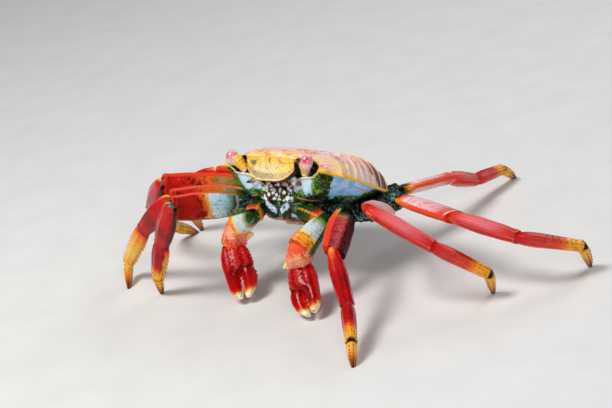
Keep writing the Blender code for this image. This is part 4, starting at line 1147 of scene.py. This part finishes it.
def edge_thorns(start, end, crest, profile, height, thickness, turns, shares, length, width, draw):
    """Places for thorns along lines on a segment, at those turns in degrees, leaning to its end."""
    axis = (end - start).normalized()
    across = axis.cross(crest).normalized()
    way_up = across.cross(axis)
    places = []
    for turn in turns:
        c, s = math.cos(math.radians(turn)), math.sin(math.radians(turn))
        for share in shares:
            share += draw.uniform(-0.02, 0.02)
            tall, thick, lift = (float(eased(profile, share, column)) for column in (1, 2, 3))
            foot = start + (end - start) * share + way_up * (lift * height + s * tall * height / 2) * MM
            foot += across * c * thick * thickness / 2 * MM * (1 - 0.25 * max(s, 0))
            out = (way_up * s + across * c).normalized() + axis * 1.1
            places.append((foot, foot + out.normalized() * length * draw.uniform(0.8, 1.2) * MM, width))
    return places


def joint_skin(name, point, axis, radii):
    """The soft skin that shows in a joint, as a ball flattened across the limb."""
    ball = sphere(name, 32, 20)
    turn = Vector((0, 0, 1)).rotation_difference(axis).to_matrix()
    folds = 1 + 0.05 * np.sin(points_of(ball)[:, 2:] * 14)
    move_points(ball, points_of(ball) * folds * np.array(radii) * MM @ np.array(turn).T + np.array(point))
    own(ball, None, skin_paint)


draw = np.random.default_rng(7)
for (side, number), pose in LEG_POSE.items():
    *poses, spike_turn = pose
    joints = [body_point(left * SIDES[side], fore, up)
              for left, fore, up in (HIP_STARTS[number], LEG_ROOTS[number])]
    for (degrees, climb, _), length in zip(poses, LEG_LENGTHS[number]):
        joints.append(joints[-1] + heading(side, degrees, climb) * length * MM)
    spike = LEG_LENGTHS[number][3] * MM
    climb = -math.degrees(math.asin((joints[-1].z + FOOT_SINK * MM) / spike))
    joints.append(joints[-1] + heading(side, spike_turn, climb) * spike)
    crests = [leg_crest(side, poses[0][0], 0)]
    crests += [leg_crest(side, degrees, lean) for degrees, _, lean in poses]
    crests.append(crests[-1])
    sizes = (HIP_SIZES[number], *zip(LEG_HEIGHTS[number], SEGMENT_THICKNESS))
    rosy, front = side == "left" and number > 1, number == 1
    thigh = "rosy" if rosy else "red" if side == "left" else "blue" if front else "green and red"
    shin = "rosy" if rosy else "red"
    foot = "two tone foot" if rosy else "foot" if front else "gold foot"
    plans = (
        ("hip", HIP_PROFILE, hip_relief, "hip shell", "dark_underside", 64, 60, 0.6, 0.0),
        ("merus", THIGH_PROFILE, thigh_relief, thigh + " thigh", "red_shell", 96, 190, 1.6, 1.0),
        ("carpus", SHIN_PROFILE, shin_relief, shin + " shin", "red_shell", 96, 120, 1.2, 0.7),
        ("propodus", FOOT_PROFILE, foot_relief, foot + " shell", "orange_shell", 88, 110, 0.8, 0.5),
        ("dactyl", SPIKE_PROFILE, foot_relief, "spike shell", "orange_shell", 64, 80, 0.0, 0.0),
    )
    for index, (segment, profile, relief, paint, slot, segments, rings, cup, lips) in enumerate(plans):
        name = f"leg_{side}_{number}_{segment}"
        piece = limb_form(name + "_shell", joints[index], joints[index + 1], crests[index], profile,
                          *sizes[index], relief, segments, rings, cup=cup, lips=lips, front=SIDES[side])
        if segment == "dactyl":
            co = points_of(piece)
            co[:, 2] = np.maximum(co[:, 2], 0.0)
            move_points(piece, co)
        own(piece, name, leg_shells[paint])
    for index, radii in ((2, (3.0, 3.0, 3.2)), (3, (2.5, 2.5, 2.4)), (4, (2.2, 2.2, 1.7))):
        axis = (joints[index + 1] - joints[index]).normalized()
        joint_skin(f"leg_{side}_{number}_joint_{index}", joints[index], axis,
                   [radius * LEG_HEIGHTS[number][0] / 14.0 for radius in radii])
    rows = edge_thorns(joints[3], joints[4], crests[3], FOOT_PROFILE, *sizes[3], (70, 110, -70, -110),
                       (0.36, 0.47, 0.58, 0.68, 0.77, 0.85, 0.93), 1.3, 0.5, draw)
    rows += edge_thorns(joints[4], joints[5], crests[4], SPIKE_PROFILE, *sizes[4], (60, 120, -60, -120),
                        (0.16, 0.29, 0.42, 0.55, 0.68), 1.1, 0.5, draw)
    thorns(f"leg_{side}_{number}_bristles", rows, None, bristle_paint)


# The claws. Each arm is square and toothed, the wrist is rough with a stout inner spine, and the glossy red
# hand ends in two curved fingers with pale hollow tips. Black seams show where hand and free finger turn.
CLAW_LENGTHS = (10.5, 18.6, 11.8, 27.6)
CLAW_ROOT = (14.6, 19.0, -19.6)
CLAW_POSE = {
    "left": ((4, -18), (102, -22), (215, -62), (52, -36)),
    "right": ((115, 4), (-21, -25), (54, -62), (135, -45)),
}
CLAW_CREST = {"left": Vector((-0.86, -0.33, -0.40)), "right": Vector((0.77, 0.64, 0.0))}
ARM_CREST = {"left": Vector((0.70, 0.28, -0.64)), "right": Vector((0, 0, 1))}
CLAW_SIZES = ((9.6, 9.0), (12.6, 11.0), (12.2, 11.8), (15.6, 9.6))
WRIST_SPINE_PLACE, WRIST_SPINE_LENGTH, WRIST_SPINE_WIDTH = 0.64, 3.8, 7.0
BASE_PROFILE = ((-0.3, 0.6, 0.6), (0, 0.9, 0.9), (0.6, 1, 1), (0.9, 0.86, 0.86), (1.0, 0.7, 0.7))
ARM_PROFILE = (
    (-0.16, 0.44, 0.46), (-0.06, 0.58, 0.6), (0.1, 0.68, 0.7), (0.45, 0.84, 0.85),
    (0.8, 1, 1), (1.0, 0.96, 0.96),
)
WRIST_PROFILE = (
    (-0.24, 0.48, 0.5), (-0.12, 0.72, 0.74), (0.0, 0.84, 0.86), (0.15, 0.94, 0.96), (0.35, 1, 1, 0.02),
    (0.7, 0.98, 1, 0.02), (1.0, 0.84, 0.9),
)
PALM_PROFILE = (
    (-0.1, 0.42, 0.5), (-0.05, 0.56, 0.66), (0.03, 0.74, 0.82), (0.16, 0.92, 0.96),
    (0.34, 1, 1), (0.46, 0.98, 0.98), (0.52, 0.74, 0.9, -0.12), (0.6, 0.46, 0.78, -0.25),
    (0.8, 0.4, 0.66, -0.27), (0.93, 0.31, 0.58, -0.22), (1.0, 0.2, 0.42, -0.18),
)
FINGER_PROFILE = (
    (0.4, 0.24, 0.42, 0.2), (0.46, 0.38, 0.62, 0.23), (0.58, 0.47, 0.7, 0.27), (0.7, 0.46, 0.68, 0.27),
    (0.84, 0.38, 0.62, 0.22), (0.94, 0.29, 0.56, 0.13), (1.01, 0.18, 0.4, 0.07),
)


def wrist_relief(t, u, c, s, v):
    """Coarse rounded granules and short wrinkles."""
    around = np.arctan2(s, c)
    grains = rise(np.sin(u * 2.9 + 1.5 * np.sin(around * 3 + u * 0.7))
                  * np.sin(around * 10 + 2.0 * np.sin(u * 0.9)), 0.1, 0.9)
    folds = np.sin(around * 2 + u * 0.35 + 1.0) + 0.6 * np.sin(around * 5 - u * 0.5)
    return 0.42 * grains * rise(t, -0.2, -0.05) + 0.3 * folds * rise(t, -0.2, 0.0) * rise(t, 1.0, 0.85)


def palm_relief(t, u, c, s, v):
    """Long keels down the hand with small granules near the wrist, and bumps where the fingers meet."""
    long = keels(s, c, 10, 35, 145, -35, -145, 0, 180) * rise(t, 0.6, 0.42)
    grains = rise(np.sin(u * 2.6 + s) * np.sin(np.arctan2(s, c) * 11 + u * 0.7), 0.2, 0.9)
    grains *= rise(t, 0.55, 0.35) * (0.3 + 0.7 * rise(s, -0.2, 0.6))
    bites = keels(s, c, 22, 90) * rise(t, 0.56, 0.6) * rise(t, 0.96, 0.9) * (0.5 + 0.5 * np.sin(u * 2.4))
    spoon = keels(s, c, 40, 90) * rise(t, 0.9, 0.97)
    return 0.45 * long + 0.34 * grains + 0.5 * bites - 0.5 * spoon


def finger_relief(t, u, c, s, v):
    """Keels and outer bumps on the free finger, and its biting edge."""
    long = keels(s, c, 12, 35, 145)
    bumps = keels(s, c, 20, 90) * rise(np.sin(u * 2.8), 0.2, 0.9) * rise(t, 0.9, 0.7)
    bites = keels(s, c, 24, -90) * rise(t, 0.56, 0.62) * rise(t, 0.96, 0.9)
    return 0.25 * long + 0.4 * bumps + 0.5 * bites * (0.5 + 0.5 * np.sin(u * 2.4 + 2))


def arm_relief(t, u, c, s, v):
    low = keels(s, c, 12, 45, 135) + keels(s, c, 14, -45, -135)
    return 0.3 * low + 0.25 * hill(t - 0.95, 0.03) + 0.06 * np.sin(u * 3.0)


ARM_FACE = {0.0: MOSS, 0.16: 0xa0b478, 0.26: 0xccdee0, 0.56: 0xc8dce2, 0.66: 0xf6d66e, 0.8: AMBER,
            1.0: FLAME}
ARM_MOTTLES = {0.1: MOSS, 0.5: 0x6e9264, 0.62: 0xb04218, 1.0: 0x8c2810}
ARM_EDGE = {0.0: INK, 0.1: MOSS, 0.7: 0x225022, 0.9: 0x5a6422, 1.0: FLAME}
ARM_TOP = {0.0: MOSS, 0.2: FLAME, 0.4: 0xe2e8dc, 0.6: AMBER, 1.0: FLAME}
WRIST = {0.0: 0xec603c, 0.2: 0xf27c56, 0.5: 0xf4907a, 0.8: 0xe6563c, 1.0: FLAME}
HAND = {0.04: SCARLET, 0.14: 0xaa080e, 0.5: 0x8c020a, 0.84: 0xb40a10, 0.90: SCARLET, 0.935: AMBER,
        0.96: CREAM, 1.0: 0xfaf6e2}
HAND_EDGE = {0.0: FLAME, 0.1: SCARLET, 0.4: 0xc81e18, 0.86: SCARLET, 0.94: CREAM, 1.0: CREAM}
HAND_PAINT = (HAND, HAND, HAND_EDGE, HAND_EDGE, 0.6, 0x4c0208, 0xde3c3c, 0.4, 0.84, -0.8, 0.0)
SPINE_SIDE, SPINE_EDGE = {0.0: FLAME, 0.4: AMBER, 0.8: CREAM}, {0.0: FLAME, 0.5: CREAM}
claw_shells = shells({
    "claw base": (0.16, {0.0: MOSS, 0.5: 0x464c1e, 0.7: FLAME, 1.0: AMBER},
                  {0.0: MOSS, 0.5: 0x96461e, 1.0: FLAME},
                  {0.0: MOSS, 0.6: 0x3c3c1a, 0.8: SCARLET, 1.0: FLAME},
                  {0.0: MOSS, 1.0: FLAME}, 0.95, 0x1e3816, AMBER),
    "claw arm": (0.16, ARM_FACE, ARM_FACE, ARM_EDGE, ARM_TOP, 0.7, ARM_MOTTLES, CREAM, 0.2, 0.68, -0.86),
    "claw wrist": (0.16, WRIST, WRIST, WRIST, WRIST, 0.6, 0xd22e1c, 0xfcbe8c, 0.6),
    "claw palm": (0.14, *HAND_PAINT, 0.05),
    "claw finger": (0.14, *HAND_PAINT, 0.51),
    "wrist spine": (0.16, SPINE_SIDE, SPINE_SIDE, SPINE_EDGE, SPINE_EDGE, 0.2, FLAME),
})
tooth_paint = finish("claw teeth", lambda bare: bare.noise(300.0).ramp(
    {0.4: 0x2c4a24, 0.6: 0x787832}), 0.4)

for side in SIDES:
    root = body_point(CLAW_ROOT[0] * SIDES[side], *CLAW_ROOT[1:])
    joints = [root]
    for (degrees, climb), length in zip(CLAW_POSE[side], CLAW_LENGTHS):
        joints.append(joints[-1] + heading(side, degrees, climb) * length * MM)
    crest, level_crest = CLAW_CREST[side], Vector((0, 0, 1))
    plans = (
        ("base", 0, level_crest, BASE_PROFILE, arm_relief, "dark_underside", 0.5),
        ("arm", 1, ARM_CREST[side], ARM_PROFILE, arm_relief, "pale_shell", 1.2),
        ("wrist", 2, crest, WRIST_PROFILE, wrist_relief, "red_shell", 1.0),
        ("palm", 3, crest, PALM_PROFILE, palm_relief, "red_shell", 0.0),
        ("finger", 3, crest, FINGER_PROFILE, finger_relief, "red_shell", 0.0),
    )
    for segment, index, way, profile, relief, slot, cup in plans:
        name = f"claw_{side}_{segment}"
        piece = limb_form(name + "_shell", joints[index], joints[index + 1], way, profile,
                          *CLAW_SIZES[index], relief, 96, 130, taper=0.0 if segment == "finger" else 0.25,
                          cup=cup, front=SIDES[side])
        own(piece, name, claw_shells["claw " + segment])
    middle = joints[2].lerp(joints[3], WRIST_SPINE_PLACE)
    reach = crest * (CLAW_SIZES[2][0] / 2 + WRIST_SPINE_LENGTH) * MM
    inner = limb_form(f"claw_{side}_wrist_spine", middle, middle + reach,
                      (joints[3] - joints[2]).normalized(),
                      ((0.0, 1.0, 1.0), (0.6, 0.8, 0.8), (0.85, 0.4, 0.4), (1.0, 0.14, 0.14)),
                      WRIST_SPINE_WIDTH, WRIST_SPINE_WIDTH * 0.8, segments=32, rings=40)
    own(inner, None, claw_shells["wrist spine"])
    for index, radii in ((1, (3.0, 3.0, 2.6)), (2, (2.8, 2.8, 2.0)), (3, (4.2, 4.2, 2.6))):
        before = (joints[index] - joints[index - 1]).normalized()
        joint_skin(f"claw_{side}_joint_{index}", joints[index] - before * 1.2 * MM,
                   (joints[index + 1] - joints[index]).normalized(), radii)
    teeth = edge_thorns(joints[1], joints[2], ARM_CREST[side], ARM_PROFILE, *CLAW_SIZES[1], (90, 62, 118),
                        (0.3, 0.38, 0.46, 0.54, 0.62, 0.7, 0.78, 0.86, 0.93), 1.7, 1.4, draw)
    thorns(f"claw_{side}_arm_teeth", teeth, None, tooth_paint)
